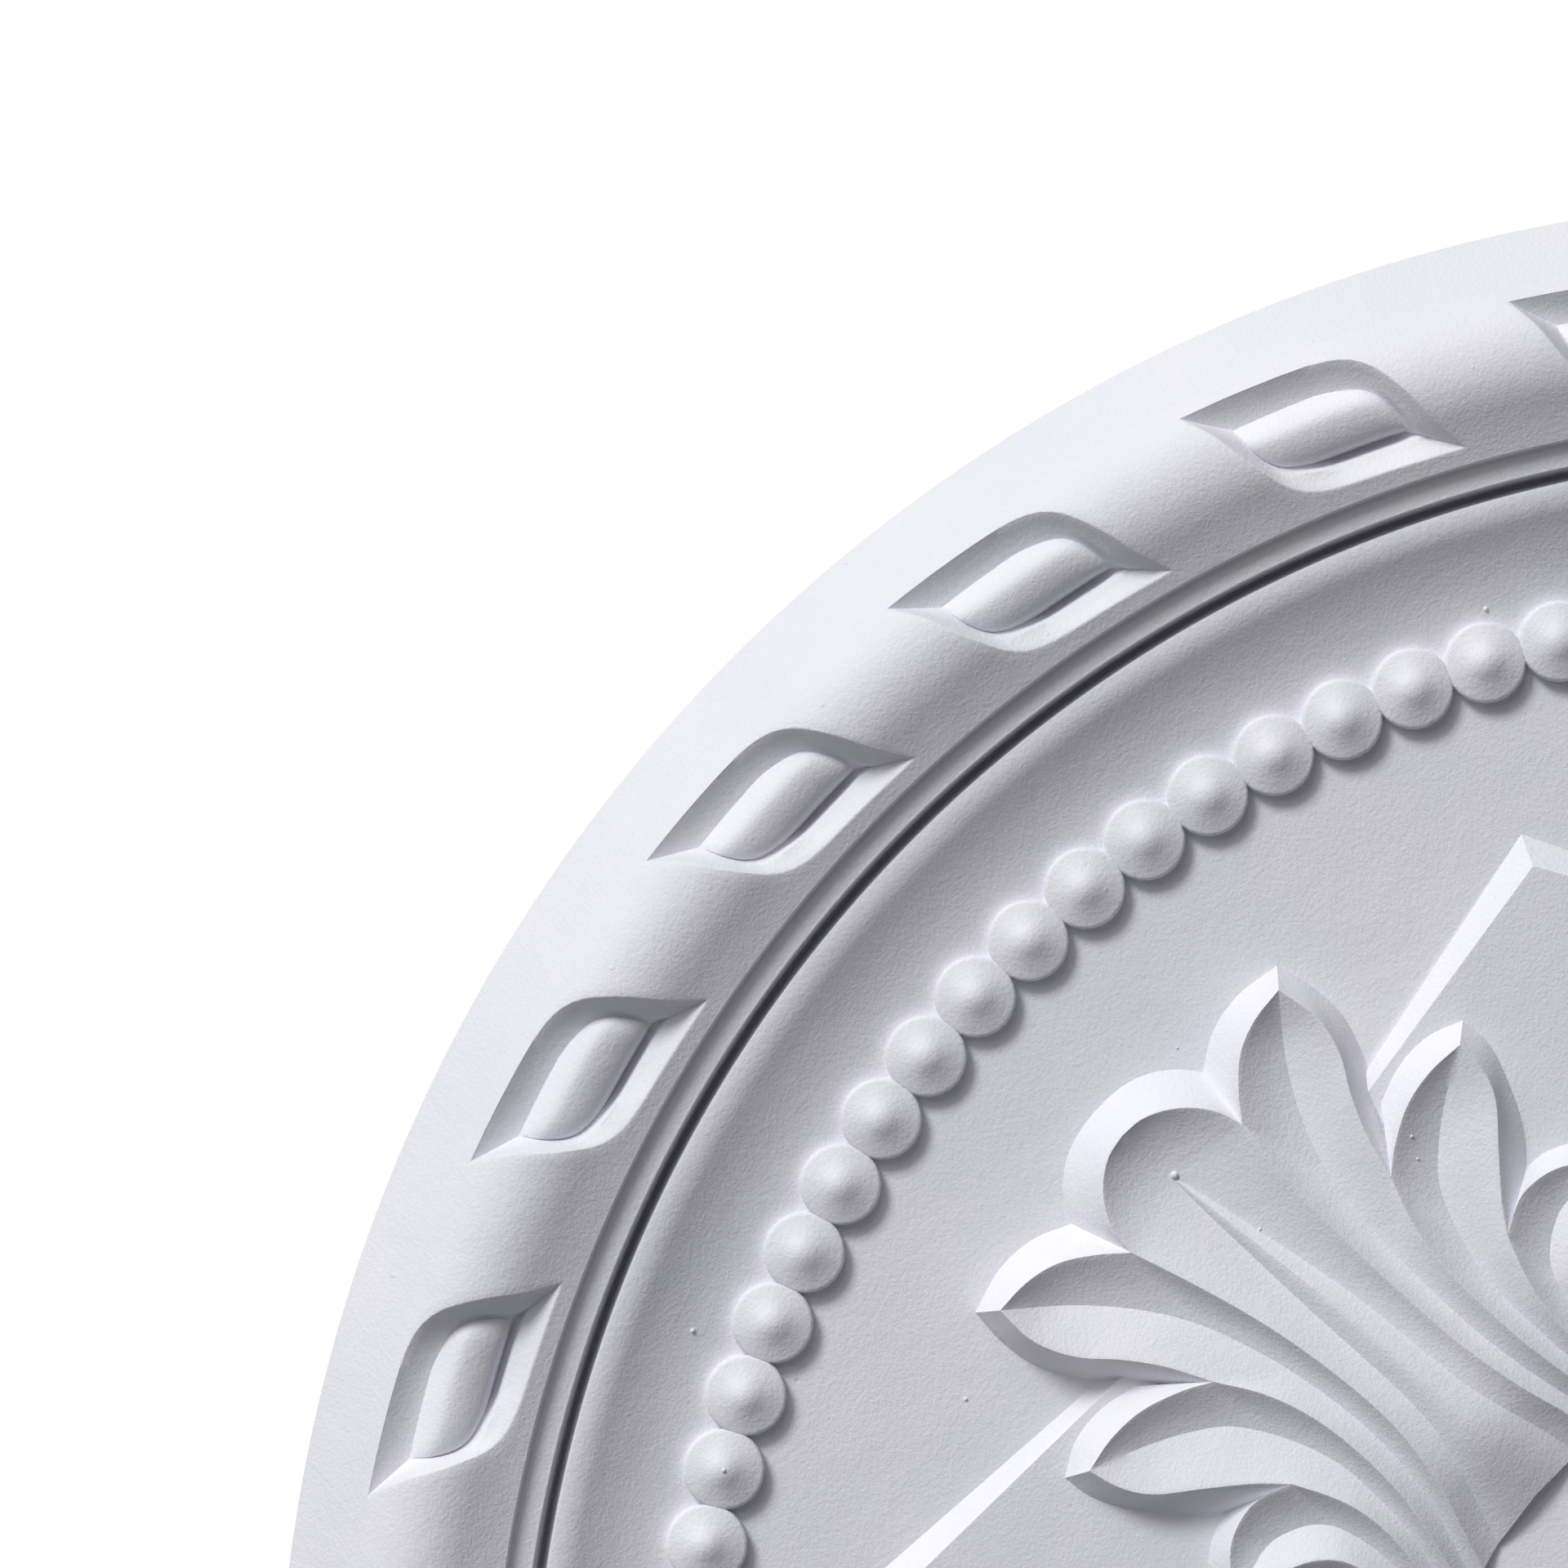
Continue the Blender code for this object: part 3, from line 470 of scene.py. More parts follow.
def repeat_round(bm, count):
    """Copy all there is evenly round the centre."""
    bmesh.ops.spin(bm, geom=bm.verts[:] + bm.edges[:] + bm.faces[:], cent=(0, 0, 0),
                   axis=(0, 0, 1), angle=math.tau * (count - 1) / count, steps=count - 1,
                   use_duplicate=True)


def turn_round(bm, angle):
    bmesh.ops.rotate(bm, verts=bm.verts, cent=(0, 0, 0), matrix=Matrix.Rotation(angle, 3, "Z"))


def close_holes(bm):
    bmesh.ops.holes_fill(bm, edges=[edge for edge in bm.edges if edge.is_boundary], sides=0)


def new_mesh(name, bm):
    """Mesh data with the shape in it, which is then let go."""
    mesh = bpy.data.meshes.new(name)
    bm.to_mesh(mesh)
    bm.free()
    return mesh


def new_object(name, data):
    """An object with the given data, linked to the scene."""
    made = bpy.data.objects.new(name, data)
    bpy.context.scene.collection.objects.link(made)
    return made


def finish_piece(name, bm, crease_degrees=CREASE):
    """Stand the shape upright and make it a piece that rides with the casting."""
    bmesh.ops.recalc_face_normals(bm, faces=bm.faces)
    bmesh.ops.rotate(bm, verts=bm.verts, cent=(0, 0, 0), matrix=UPRIGHT)
    mesh = new_mesh(name, bm)
    mesh.shade_smooth()
    mesh.set_sharp_from_angle(angle=math.radians(crease_degrees))
    mesh.materials.append(bpy.data.materials[PLASTER_NAME])
    piece = new_object(name, mesh)
    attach(piece, "root")
    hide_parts("medallion")


def add_shape(bm, other):
    """Add all of another shape to this one."""
    mesh = new_mesh("added", other)
    bm.from_mesh(mesh)
    bpy.data.meshes.remove(mesh)


def spun_section(points, steps):
    """Spin a section, given as points (radius, height), once round the centre."""
    bm = bmesh.new()
    verts = [bm.verts.new((radius, 0, height)) for radius, height in points]
    for first, second in zip(verts, verts[1:]):
        bm.edges.new((first, second))
    bmesh.ops.spin(bm, geom=bm.verts[:] + bm.edges[:], cent=(0, 0, 0), axis=(0, 0, 1),
                   angle=math.tau, steps=steps, use_merge=True)
    return bm


def soften_turned_edges(bm, softness):
    bmesh.ops.recalc_face_normals(bm, faces=bm.faces)
    hard = [edge for edge in bm.edges
            if not edge.is_boundary and edge.calc_face_angle(0) > HARD_TURNED]
    bmesh.ops.bevel(bm, geom=hard, offset=softness, segments=TURNED_EDGE_STEPS, profile=0.5,
                    affect="EDGES", material=-1)


def panel_point(panel, share, half_length, half_width, height):
    """A point of a panel, bent round the ring: the share runs clockwise and outwards."""
    angle = -share[0] * half_length / panel.radius
    radius = panel.radius + share[1] * half_width
    return Vector((radius * math.cos(angle), radius * math.sin(angle), height))


def fine_places(line, first, samples):
    """Finely spaced places on the smooth curve through a line's knots, each with its point."""
    knots = [Vector(knot) for knot in line]
    last = len(knots) - 1
    places = [first + (last - first) * step / samples for step in range(samples + 1)]
    return [(place, smooth_curve(knots, place)) for place in places]


def nearest(places, axis, value):
    """The place whose point comes nearest to a value on an axis, with that point."""
    return min(places, key=lambda item: abs(item[1][axis] - value))


def eased(step, steps):
    """Share of the way at a step, the steps being finer near both ends."""
    return (1 - math.cos(math.pi * step / steps)) / 2


def stick_height(panel, out, top, past):
    """Height of the stick where its end is near: past is the share of the rounding run passed."""
    foot = STICK_SECTION[0][1] * (1 + out) / 2
    fall = panel.stick_end_fall * (1 - math.sqrt(max(1 - past ** 2, 0)))
    return panel.stick_foot_height + panel.stick_rise * (top - (top - foot) * fall)


def panel_loops(panel):
    """Lines along the stick, and the loop of the panel's edge that belongs to their ends."""
    end = fine_places(STICK_END, PANEL_SHOULDER, END_SAMPLES)
    section = fine_places(STICK_SECTION, 0, SECTION_SAMPLES)
    edge_knots = [Vector(knot) for knot in PANEL_EDGE]
    rows, left_edge, right_edge = [], [], []
    for step in range(STICK_ROWS + 1):
        out = math.cos(math.pi * step / STICK_ROWS)
        top = nearest(section, 0, out)[1].y
        right_place, right = nearest(end, 1, out)
        left_place, left = nearest(end, 1, -out)
        row = []
        for span in range(STICK_SPANS + 1):
            along = -left.x + (right.x + left.x) * eased(span, STICK_SPANS)
            to_end = min(along + left.x, right.x - along) * panel.stick_half_length
            past = max(1 - to_end / panel.stick_end_run, 0)
            shifted = along - panel.stick_shift / panel.stick_half_length
            row.append(panel_point(panel, (shifted, out), panel.stick_half_length,
                                   panel.stick_half_width, stick_height(panel, out, top, past)))
        rows.append(row)
        right_edge.append(smooth_curve(edge_knots, right_place))
        left_edge.append(-smooth_curve(edge_knots, left_place))
    long_side = [smooth_curve(edge_knots, PANEL_SHOULDER * span / STICK_SPANS)
                 for span in range(1, STICK_SPANS)]
    low = (rows[0][:-1] + [row[-1] for row in rows[:-1]]
           + rows[-1][:0:-1] + [row[0] for row in rows[:0:-1]])
    end_shares = [eased(step, STICK_ROWS) for step in range(STICK_ROWS)]
    inner_shares = ([0] * STICK_SPANS + end_shares + [1] * STICK_SPANS
                    + [1 - share for share in end_shares])
    high = ([left_edge[0]] + long_side + right_edge[:-1]
            + [right_edge[-1]] + [-share for share in long_side] + left_edge[:0:-1])
    banks = [panel.crease_bank * share ** 2 for share in inner_shares]
    return rows, low, high, banks


def border_tile(body, panel):
    """One repeat of the roll with its panel and stick, between two straight sides."""
    rows, low, high, banks = panel_loops(panel)
    outer, inner = body.rim_radius - body.rim_width, roll_foot_radius(body)
    half_turn = math.pi / panel.count
    edge = []
    for share in high:
        point = panel_point(panel, share, panel.half_length, panel.half_width, 0)
        edge.append((math.atan2(point.y, point.x), point.xy.length))

    corner = STICK_SPANS + round(STICK_ROWS * SHOULDER_TURN / math.pi)
    half = len(high) // 2
    border = []
    for side, start, end in ((1, outer, inner), (-1, inner, outer)):
        for index in range(half):
            if index <= corner:
                border.append((side * half_turn * (1 - 2 * index / corner), start))
            else:
                share = (index - corner) / (half - corner)
                border.append((-side * half_turn, start + (end - start) * share))

    bm = bmesh.new()
    add_sheet(bm, rows)
    edge_points = [roll_point(body, *place) for place in edge]
    wall = []
    for share in WALL_SHARES:
        climb = min(max((share - CREASE_FLOOR) / CREASE_SIDE, 0), 1)
        climb = climb ** 2 * (3 - 2 * climb) * (1 - share)
        line = []
        for foot, top, bank in zip(low, edge_points, banks):
            sag = sag_at(panel.wall_sag, share) * (top - foot).length
            line.append(foot.lerp(top, share) + Vector((0, 0, bank * climb - sag)))
        wall.append(line + line[:1])
    add_sheet(bm, wall)
    rings = []
    for step in range(ROLL_RINGS + 1):
        share = step / ROLL_RINGS
        ring = [roll_point(body, angle + (far_angle - angle) * share,
                           radius + (far_radius - radius) * share)
                for (angle, radius), (far_angle, far_radius) in zip(edge, border)]
        rings.append(ring + ring[:1])
    add_sheet(bm, rings)
    bmesh.ops.remove_doubles(bm, verts=bm.verts, dist=SEAM)
    bmesh.ops.recalc_face_normals(bm, faces=bm.faces)
    if sum(face.normal.z for face in bm.faces) < 0:
        bmesh.ops.reverse_faces(bm, faces=bm.faces)
    lowest = panel.stick_foot_height + EDGE_CLEARANCE * panel.crease_bank
    hard = [item for item in bm.edges if not item.is_boundary and item.is_convex
            and item.calc_face_angle(0) > HARD_PANEL
            and min(vert.co.z for vert in item.verts) > lowest]
    bmesh.ops.bevel(bm, geom=hard, offset=panel.edge_softness, segments=PANEL_EDGE_STEPS,
                    profile=0.5, affect="EDGES", material=-1, clamp_overlap=True)
    return bm, corner


def leaf_knots(line, height=None):
    """The knots of a leaf line as vectors, those on the foot circle given by their angle."""
    knots = []
    for knot in line:
        if height is not None:
            knot = (*knot, height)
        if len(knot) == 2:
            turn = math.radians(knot[0])
            knot = (DRAWN_FOOT * math.cos(turn), DRAWN_FOOT * math.sin(turn), knot[1])
        knots.append(Vector(knot))
    return knots


def leaf_line(line, steps, height=None):
    """Points at even distances along a smooth curve through a leaf line's knots."""
    knots = leaf_knots(line, height)
    fine = [smooth_curve(knots, part / KNOT_PARTS)
            for part in range(KNOT_PARTS * (len(knots) - 1) + 1)]
    lengths = [0.0]
    for start, end in zip(fine, fine[1:]):
        lengths.append(lengths[-1] + (end - start).length)
    points = []
    reached = 0
    for step in range(steps + 1):
        target = lengths[-1] * step / steps
        while reached < len(fine) - 2 and lengths[reached + 1] < target:
            reached += 1
        share = (target - lengths[reached]) / (lengths[reached + 1] - lengths[reached])
        points.append(fine[reached].lerp(fine[reached + 1], share))
    return points


def add_flank(bm, ridge, foot, sag=0.0):
    """A slope from a softened ridge to a foot, hollowed by a share of its width."""
    full = math.hypot(1, FLANK_SOFTNESS) - FLANK_SOFTNESS
    lines = []
    for share in FLANK_SHARES:
        fall = (math.hypot(share, FLANK_SOFTNESS) - FLANK_SOFTNESS) / full
        line = []
        for top, low in zip(ridge, foot, strict=True):
            point = top.lerp(low, share)
            point.z = top.z + (low.z - top.z) * fall
            point.z -= sag_at(sag, share) * (top - low).length
            line.append(point)
        lines.append(line)
    add_sheet(bm, lines)


def add_rib(bm, crest, foot):
    """The rounded rib along the middle of a leaf."""
    lines = []
    for share in RIB_SHARES:
        fall = share ** RIB_FULLNESS
        lines.append([Vector((*top.lerp(low, share).xy, top.z + (low.z - top.z) * fall))
                      for top, low in zip(crest, foot)])
    add_sheet(bm, lines)


def leaf_bow(outward):
    """Share of the sideways bow: none at the foot and the tip, and 1 a third of the way out."""
    along = (outward - DRAWN_FOOT) / (DRAWN_REACH - DRAWN_FOOT)
    return BOW_FACTOR * along * (1 - along) ** 2


def leaf_shape(leaf, middle, field_height):
    """One leaf: flanks between ridges and valleys, walls round its lobes, and a skirt."""
    field = -leaf.foot_sink * DRAWN_RISE / leaf.rise
    star = field + middle.star_rise * DRAWN_RISE / leaf.rise
    bm = bmesh.new()
    ridges = [leaf_line(line, steps) for line, steps in zip(RIDGES, RIDGE_STEPS)]
    rib_foot = leaf_line(RIB_FOOT, RIDGE_STEPS[0])
    add_rib(bm, leaf_line(RIB_CREST, RIDGE_STEPS[0]), rib_foot)
    head_edge = leaf_line(HEAD_EDGE, HEAD_STEPS)
    add_flank(bm, ridges[0] + head_edge[1:], rib_foot + leaf_line(HEAD_AXIS, HEAD_STEPS)[1:],
              sag=HEAD_SAG)
    add_flank(bm, head_edge, leaf_line(HEAD_GROUND, HEAD_STEPS, field))

    for lobe, steps in enumerate(LOBE_STEPS):
        valley = leaf_line(VALLEYS[lobe], steps)
        ground = field if lobe == 0 else star
        free = steps - RIDGE_STEPS[lobe]
        upper = leaf_line(UPPER_EDGES[lobe], free)
        add_flank(bm, ridges[lobe] + upper[1:], valley, sag=LOBE_SAG)
        add_flank(bm, upper, leaf_line(UPPER_GROUNDS[lobe], free, ground))
        if lobe < len(LOWER_EDGES):
            free = steps - RIDGE_STEPS[lobe + 1]
            lower = leaf_line(LOWER_EDGES[lobe], free)
            add_flank(bm, ridges[lobe + 1] + lower[1:], valley)
            add_flank(bm, lower, leaf_line(LOWER_GROUNDS[lobe], free, ground))
        else:
            lower = leaf_line(STEM_EDGE, steps)
            add_flank(bm, lower, valley)
            add_flank(bm, lower, leaf_line(STEM_GROUND, steps, star))

    bmesh.ops.remove_doubles(bm, verts=bm.verts, dist=DRAWN_SEAM)
    bmesh.ops.mirror(bm, geom=bm.verts[:] + bm.edges[:] + bm.faces[:], axis="Y",
                     merge_dist=DRAWN_SEAM)
    rim = [edge for edge in bm.edges if edge.is_boundary]
    skirt = bmesh.ops.extrude_edge_only(bm, edges=rim)["geom"]
    for vert in (item for item in skirt if isinstance(item, bmesh.types.BMVert)):
        vert.co.z = -middle.sink * DRAWN_RISE / leaf.rise
    close_holes(bm)

    scale = leaf.reach / DRAWN_REACH
    for vert in bm.verts:
        outward, sideways, height = vert.co
        vert.co = (outward * scale, sideways * scale - leaf.bow * leaf_bow(outward),
                   field_height + height * leaf.rise / DRAWN_RISE)
    return bm


def set_inputs(tree, node, inputs):
    """Set a node's inputs to values or link them from sockets, and return the node."""
    for name, value in inputs.items():
        if isinstance(value, bpy.types.NodeSocket):
            tree.links.new(value, node.inputs[name])
        else:
            node.inputs[name].default_value = value
    return node


def new_node(tree, kind, inputs):
    return set_inputs(tree, tree.nodes.new(kind), inputs)


def math_node(tree, operation, first, second):
    node = tree.nodes.new("ShaderNodeMath")
    node.operation = operation
    return set_inputs(tree, node, {0: first, 1: second}).outputs["Value"]


def noise_node(tree, vector, noise):
    inputs = dict(zip(("Scale", "Detail", "Roughness"), noise), Vector=vector)
    return new_node(tree, "ShaderNodeTexNoise", inputs).outputs["Fac"]


def make_cast_surface_group():
    """Height and colour mask of cast plaster: slow waves, streaks, fine grain, blebs and pits."""
    group = bpy.data.node_groups.new("cast_surface", "ShaderNodeTree")
    group.interface.new_socket(name="Vector", in_out="INPUT", socket_type="NodeSocketVector")
    for direction, names in (("INPUT", ("Waves", "Grain", "Streaks", "Mark Spacing", "Mark Size")),
                             ("OUTPUT", ("Height", "Patches"))):
        for name in names:
            group.interface.new_socket(name=name, in_out=direction, socket_type="NodeSocketFloat")
    entry = group.nodes.new("NodeGroupInput").outputs
    vector, spacing = entry["Vector"], entry["Mark Spacing"]
    waves = math_node(group, "MULTIPLY", noise_node(group, vector, WAVES_NOISE), entry["Waves"])
    grain = math_node(group, "MULTIPLY", noise_node(group, vector, GRAIN_NOISE), entry["Grain"])
    comb = group.nodes.new("ShaderNodeMapping")
    comb.vector_type = "TEXTURE"
    set_inputs(group, comb, {
        "Vector": vector, "Rotation": (0, STREAKS_TURN, 0), "Scale": STREAKS_SIZE})
    streaks = math_node(group, "MULTIPLY", entry["Streaks"],
                        noise_node(group, comb.outputs["Vector"], STREAKS_NOISE))

    cells = new_node(group, "ShaderNodeTexVoronoi", {
        "Vector": vector, "Scale": math_node(group, "DIVIDE", 1, spacing)}).outputs
    away = math_node(group, "MULTIPLY", cells["Distance"], spacing)
    split = new_node(group, "ShaderNodeSeparateColor", {"Color": cells["Color"]}).outputs
    size = math_node(group, "MULTIPLY", entry["Mark Size"],
                     math_node(group, "POWER", split["Red"], 2))
    dome = math_node(group, "SUBTRACT", 1, math_node(group, "DIVIDE", away, size))
    dome = math_node(group, "MAXIMUM", dome, 0)
    sign = math_node(group, "SUBTRACT",
                     math_node(group, "GREATER_THAN", split["Green"], PITS_SHARE), 0.5)
    marks = math_node(group, "MULTIPLY", math_node(group, "POWER", dome, 0.5), sign)
    marks = math_node(group, "MULTIPLY", marks, size)

    height = math_node(group, "ADD", math_node(group, "ADD", waves, streaks), grain)
    new_node(group, "NodeGroupOutput", {
        "Height": math_node(group, "ADD", height, marks),
        "Patches": noise_node(group, vector, PATCHES_NOISE)})
    return group


def make_plaster(look):
    """Matte cool white plaster with faint patches, grain and casting marks."""
    plaster = bpy.data.materials.new(PLASTER_NAME)
    plaster.use_nodes = True
    tree = plaster.node_tree
    surface = tree.nodes.new("ShaderNodeGroup")
    surface.node_tree = make_cast_surface_group()
    set_inputs(tree, surface, {
        "Vector": tree.nodes.new("ShaderNodeTexCoord").outputs["Object"],
        "Waves": WAVES_HEIGHT, "Grain": GRAIN_HEIGHT, "Streaks": STREAKS_HEIGHT,
        "Mark Spacing": look.bleb_spacing, "Mark Size": look.bleb_size})
    bump = new_node(tree, "ShaderNodeBump", {
        "Height": surface.outputs["Height"], "Distance": 1.0, "Strength": RELIEF_STRENGTH})
    patches = surface.outputs["Patches"]
    mask = new_node(tree, "ShaderNodeMapRange", {
        "Value": patches, "From Min": PATCHES_START, "From Max": PATCHES_END})
    rough = new_node(tree, "ShaderNodeMapRange", {
        "Value": patches, "To Min": look.roughness - ROUGHNESS_FALL,
        "To Max": look.roughness + ROUGHNESS_RISE})
    colours = tree.nodes.new("ShaderNodeMix")
    colours.data_type = "RGBA"
    set_inputs(tree, colours, {
        "Factor": mask.outputs["Result"], "A": look.light, "B": look.dark})
    set_inputs(tree, tree.nodes["Principled BSDF"], {
        "Base Color": colours.outputs["Result"], "Roughness": rough.outputs["Result"],
        "Normal": bump.outputs["Normal"]})


class MEDALLION_OT_plaster(bpy.types.Operator):
    """Make the plaster that every piece is cast in"""
    bl_idname = "medallion.plaster"
    bl_label = "Plaster"

    def execute(self, context):
        make_plaster(context.scene.medallion_plaster)
        return {"FINISHED"}


class MEDALLION_OT_body(bpy.types.Operator):
    """Build the turned body with the slanting panels and sticks of its roll"""
    bl_idname = "medallion.body"
    bl_label = "Body"

    def execute(self, context):
        body = context.scene.medallion_body
        panel = context.scene.medallion_panels
        bm, spans = border_tile(body, panel)
        repeat_round(bm, panel.count)
        for section in (outer_section(body), inner_section(body)):
            ring = spun_section(section, spans * panel.count)
            soften_turned_edges(ring, body.edge_softness)
            turn_round(ring, math.pi / panel.count)
            add_shape(bm, ring)
        bmesh.ops.remove_doubles(bm, verts=bm.verts, dist=BODY_SEAM)
        turn_round(bm, panel.phase)
        close_holes(bm)
        finish_piece("body", bm)
        return {"FINISHED"}


class MEDALLION_OT_beads(bpy.types.Operator):
    """Build the ring of beads"""
    bl_idname = "medallion.beads"
    bl_label = "Beads"

    def execute(self, context):
        bead = context.scene.medallion_beads
        field = context.scene.medallion_body.field_height
        knots = [Vector(knot) for knot in BEAD_SECTION]
        points = [smooth_curve(knots, step / 2) for step in range(2 * (len(knots) - 1))]
        section = [(share.x * bead.radius, field + share.y * bead.height) for share in points]
        section.append((bead.radius, field - context.scene.medallion_middle.sink / 2))
        bm = spun_section(section, BEAD_SPANS)
        bmesh.ops.remove_doubles(bm, verts=bm.verts, dist=SEAM)
        close_holes(bm)
        bmesh.ops.translate(bm, verts=bm.verts, vec=(bead.ring_radius, 0, 0))
        repeat_round(bm, bead.count)
        turn_round(bm, bead.phase)
        finish_piece("beads", bm)
        return {"FINISHED"}


class MEDALLION_OT_star(bpy.types.Operator):
    """Build the low star, its sloping edge tapering towards the leaves"""
    bl_idname = "medallion.star"
    bl_label = "Star"

    def execute(self, context):
        middle = context.scene.medallion_middle
        leaf = context.scene.medallion_leaves
        field = context.scene.medallion_body.field_height
        levels = (field - middle.sink, field, field + middle.star_rise)
        bm = bmesh.new()
        rings = []
        for height in levels:
            ring = []
            for index in range(2 * leaf.count):
                radius = middle.star_tip if index % 2 else middle.star_notch
                if height == levels[-1]:
                    radius -= middle.star_tip_edge if index % 2 else middle.star_notch_edge
                angle = leaf.phase + index * math.pi / leaf.count
                ring.append(bm.verts.new((radius * math.cos(angle), radius * math.sin(angle),
                                          height)))
            rings.append(ring)
        for low, high in zip(rings, rings[1:]):
            for first in range(len(low)):
                second = (first + 1) % len(low)
                bm.faces.new((low[first], low[second], high[second], high[first]))
        bm.faces.new(rings[0])
        top = bm.faces.new(rings[-1])
        tips = [rings[-1][index] for index in range(1, 2 * leaf.count, 2)]
        middle_point = bmesh.ops.poke(bm, faces=[top])["verts"]
        bmesh.ops.translate(bm, verts=tips + middle_point, vec=(0, 0, middle.star_ridge))
        finish_piece("star", bm, STAR_CREASE)
        return {"FINISHED"}


class MEDALLION_OT_leaves(bpy.types.Operator):
    """Build the leaves"""
    bl_idname = "medallion.leaves"
    bl_label = "Leaves"

    def execute(self, context):
        leaf = context.scene.medallion_leaves
        bm = leaf_shape(leaf, context.scene.medallion_middle,
                        context.scene.medallion_body.field_height)
        repeat_round(bm, leaf.count)
        turn_round(bm, leaf.phase)
        finish_piece("leaves", bm, LEAF_CREASE)
        return {"FINISHED"}


class MEDALLION_OT_boss(bpy.types.Operator):
    """Build the plain boss in the middle"""
    bl_idname = "medallion.boss"
    bl_label = "Boss"

    def execute(self, context):
        middle = context.scene.medallion_middle
        bottom = context.scene.medallion_body.field_height - middle.sink
        top = bottom + middle.sink + middle.star_rise + middle.boss_rise
        bm = bmesh.new()
        bmesh.ops.create_cone(bm, cap_ends=True, segments=BOSS_SPANS, radius1=middle.boss_radius,
                              radius2=middle.boss_radius, depth=top - bottom,
                              matrix=Matrix.Translation((0, 0, (top + bottom) / 2)))
        edges = [edge for edge in bm.edges
                 if all(vert.co.z > bottom + middle.sink for vert in edge.verts)]
        bmesh.ops.bevel(bm, geom=edges, offset=middle.boss_softness, segments=BOSS_EDGE_STEPS,
                        profile=0.5, affect="EDGES", material=-1)
        finish_piece("boss", bm)
        return {"FINISHED"}


class MEDALLION_OT_blebs(bpy.types.Operator):
    """Set small casting blebs on the finished surface"""
    bl_idname = "medallion.blebs"
    bl_label = "Casting Blebs"

    def execute(self, context):
        depsgraph = context.evaluated_depsgraph_get()
        trees = [BVHTree.FromObject(bpy.data.objects[name], depsgraph)
                 for name in ("body", "beads", "star", "leaves")]
        down = Vector((0, 1, 0))
        bm = bmesh.new()
        for across, up, radius in BLEBS:
            above = Vector((across / MILLIMETRES, 2 * CAD_LOW[1], up / MILLIMETRES))
            points = [tree.ray_cast(above, down)[0] for tree in trees]
            surface = min((point for point in points if point is not None),
                          key=lambda point: point.y)
            bmesh.ops.create_icosphere(bm, subdivisions=BLEB_SUBDIVISIONS,
                                       radius=radius / MILLIMETRES,
                                       matrix=Matrix.Translation(UPRIGHT.inverted() @ surface))
        finish_piece("casting_blebs", bm)
        return {"FINISHED"}


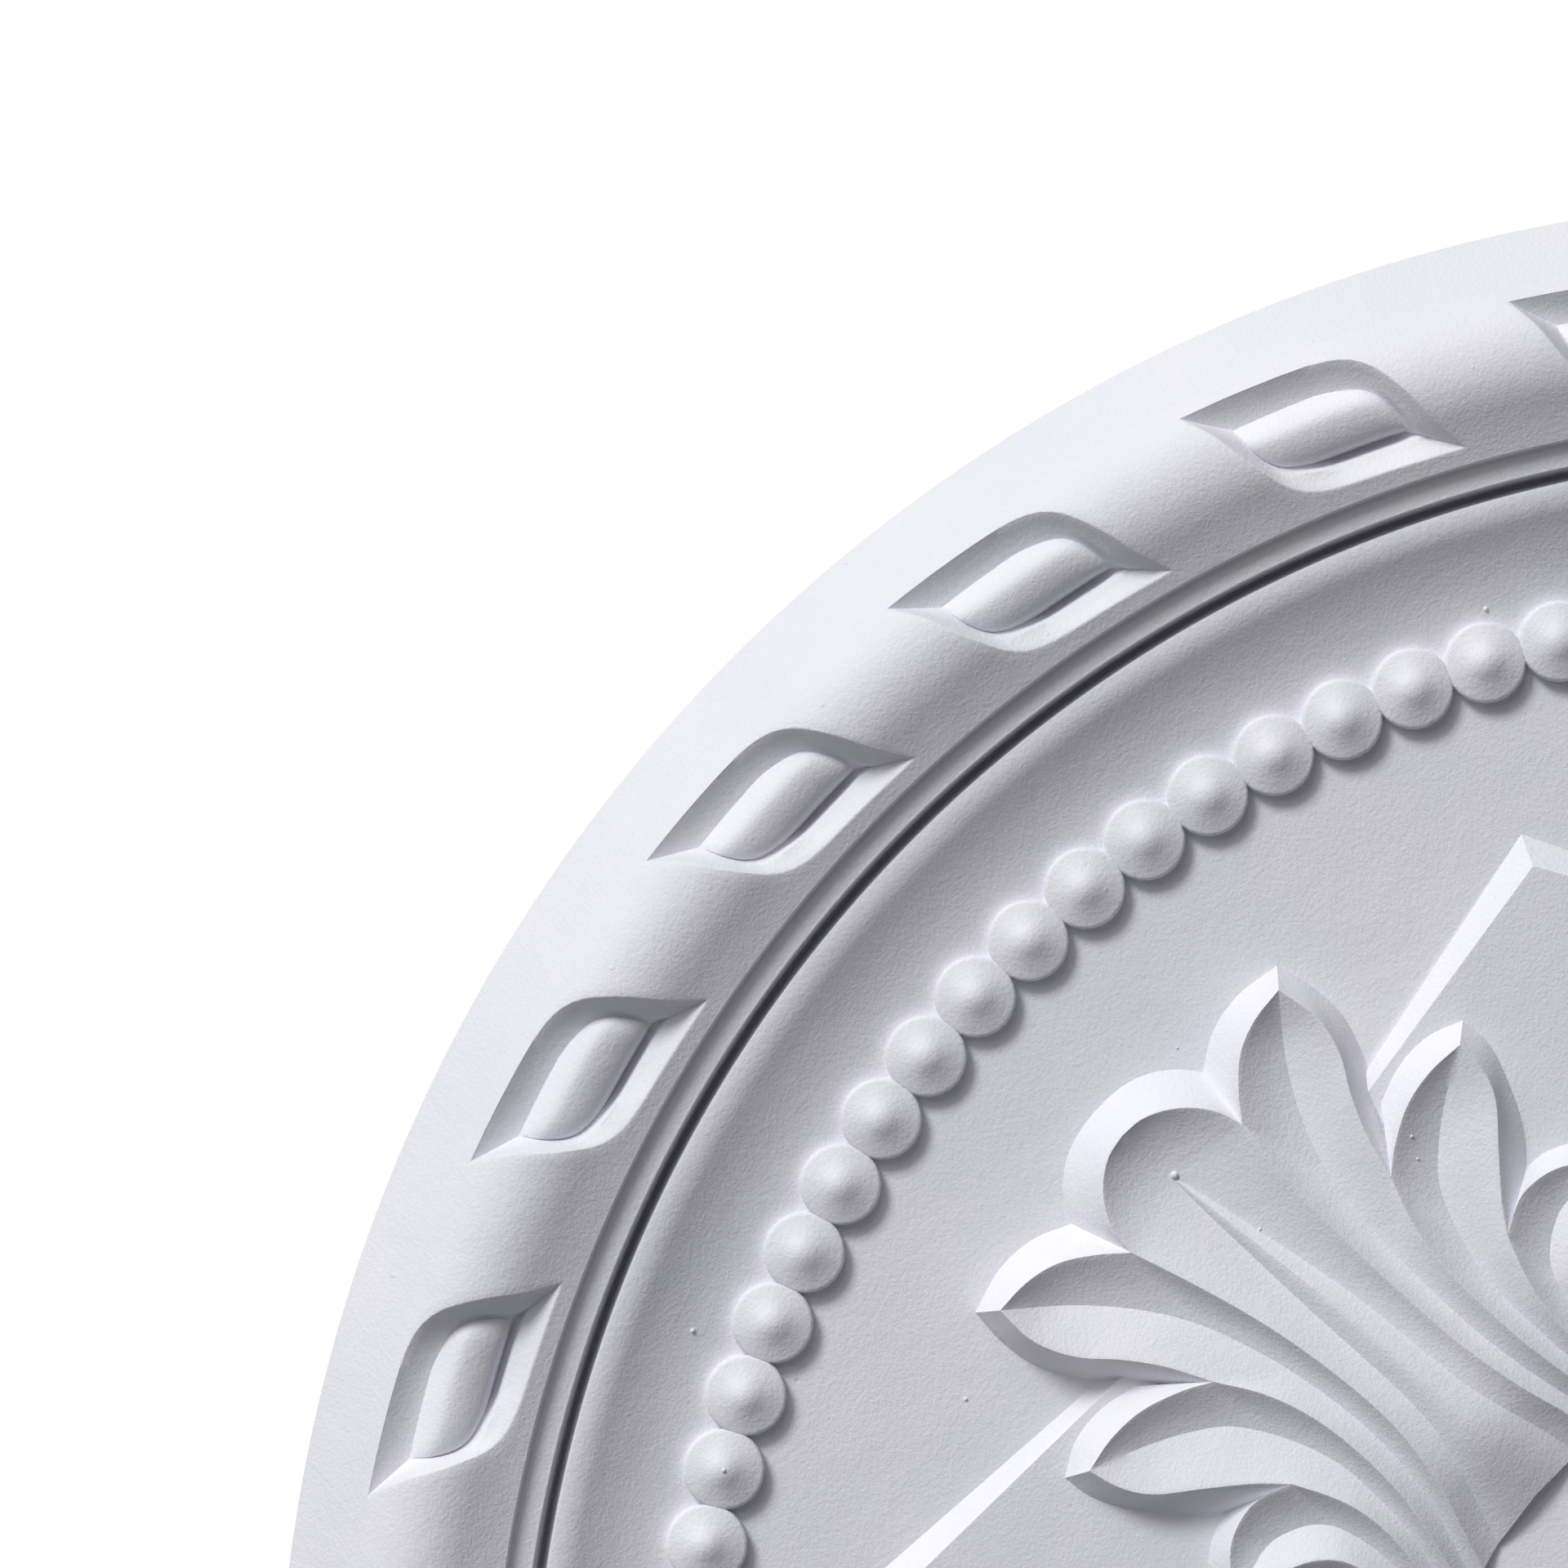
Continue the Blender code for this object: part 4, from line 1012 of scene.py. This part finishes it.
class MEDALLION_OT_studio(bpy.types.Operator):
    """Set up the floor, the lights and the camera"""
    bl_idname = "medallion.studio"
    bl_label = "Studio"

    def execute(self, context):
        studio = context.scene.medallion_studio
        scene = context.scene
        scene.view_settings.view_transform = "Standard"

        floor_material = bpy.data.materials.new("floor_paint")
        floor_material.use_nodes = True
        tree = floor_material.node_tree
        set_inputs(tree, tree.nodes["Principled BSDF"], {
            "Base Color": studio.floor_colour, "Roughness": FLOOR_ROUGHNESS})
        bm = bmesh.new()
        bmesh.ops.create_grid(bm, x_segments=1, y_segments=1, size=FLOOR_REACH,
                              matrix=Matrix.Translation((0, 0, CAD_LOW[2])))
        mesh = new_mesh("floor", bm)
        mesh.materials.append(floor_material)
        floor = new_object("floor", mesh)
        floor.visible_diffuse = False

        world = bpy.data.worlds.new("studio_air")
        world.use_nodes = True
        scene.world = world
        tree = world.node_tree
        fill = set_inputs(tree, tree.nodes["Background"], {
            "Color": FILL_COLOUR, "Strength": studio.fill_strength})
        seen = new_node(tree, "ShaderNodeBackground", {"Color": BACKDROP_COLOUR})
        path = tree.nodes.new("ShaderNodeLightPath")
        mix = new_node(tree, "ShaderNodeMixShader", {
            "Fac": path.outputs["Is Camera Ray"], 1: fill.outputs["Background"],
            2: seen.outputs["Background"]})
        set_inputs(tree, tree.nodes["World Output"], {"Surface": mix.outputs["Shader"]})

        flat = math.cos(studio.lamp_lift)
        towards = Vector((flat * math.cos(studio.lamp_turn), -math.sin(studio.lamp_lift),
                          flat * math.sin(studio.lamp_turn)))
        for name, share, size in (("key_lamp", 1 - studio.glow_share, studio.lamp_size),
                                  ("key_glow", studio.glow_share, studio.glow_size)):
            lamp = bpy.data.lights.new(name, "SUN")
            lamp.energy = studio.lamp_strength * share
            lamp.angle = size
            key = new_object(name, lamp)
            key.rotation_euler = towards.to_track_quat("Z", "Y").to_euler()
            key.location = towards * studio.view_distance

        roll = studio.view_roll
        right = Vector((math.cos(roll), 0, math.sin(roll)))
        up = Vector((-math.sin(roll), 0, math.cos(roll)))
        back = Vector((0, -1, 0))
        eye = Vector((studio.aim_x, -studio.view_distance, studio.aim_z))
        lens = bpy.data.cameras.new("view")
        lens.sensor_width = SENSOR_WIDTH
        rim_plane = scene.medallion_body.rim_edge_height
        lens.lens = SENSOR_WIDTH * (studio.view_distance - rim_plane) / studio.view_width
        lens.clip_end = SIGHT_RANGE
        camera = new_object("view", lens)
        turn = Matrix((right, up, back)).transposed().to_4x4()
        camera.matrix_world = Matrix.Translation(eye) @ turn
        scene.camera = camera
        return {"FINISHED"}


BUILD_ORDER = ("plaster", "body", "beads", "star", "leaves", "boss", "blebs", "studio")


class MEDALLION_PT_sidebar(bpy.types.Panel):
    """Lists the steps that build the medallion"""
    bl_idname = "MEDALLION_PT_sidebar"
    bl_label = "Ceiling Medallion"
    bl_space_type = "VIEW_3D"
    bl_region_type = "UI"
    bl_category = "Medallion"

    def draw(self, context):
        for step in BUILD_ORDER:
            self.layout.operator(f"medallion.{step}")
        for name in SETTINGS:
            settings = getattr(context.scene, name)
            box = self.layout.box()
            for key in settings.bl_rna.properties.keys():
                if key not in ("rna_type", "name"):
                    box.prop(settings, key)


SETTINGS = {
    "medallion_body": MedallionBodySizes,
    "medallion_panels": MedallionPanelSizes,
    "medallion_beads": MedallionBeadSizes,
    "medallion_leaves": MedallionLeafSizes,
    "medallion_middle": MedallionMiddleSizes,
    "medallion_plaster": MedallionPlasterLook,
    "medallion_studio": MedallionStudio,
}
CLASSES = (*SETTINGS.values(), MEDALLION_OT_plaster, MEDALLION_OT_body, MEDALLION_OT_beads,
           MEDALLION_OT_star, MEDALLION_OT_leaves, MEDALLION_OT_boss, MEDALLION_OT_blebs,
           MEDALLION_OT_studio, MEDALLION_PT_sidebar)


def register():
    for item in CLASSES:
        bpy.utils.register_class(item)
    for name, group in SETTINGS.items():
        setattr(bpy.types.Scene, name, bpy.props.PointerProperty(type=group))


def unregister():
    for name in SETTINGS:
        delattr(bpy.types.Scene, name)
    for item in reversed(CLASSES):
        bpy.utils.unregister_class(item)


def main():
    register()
    for step in BUILD_ORDER:
        getattr(bpy.ops.medallion, step)()


if __name__ == "__main__":
    main()
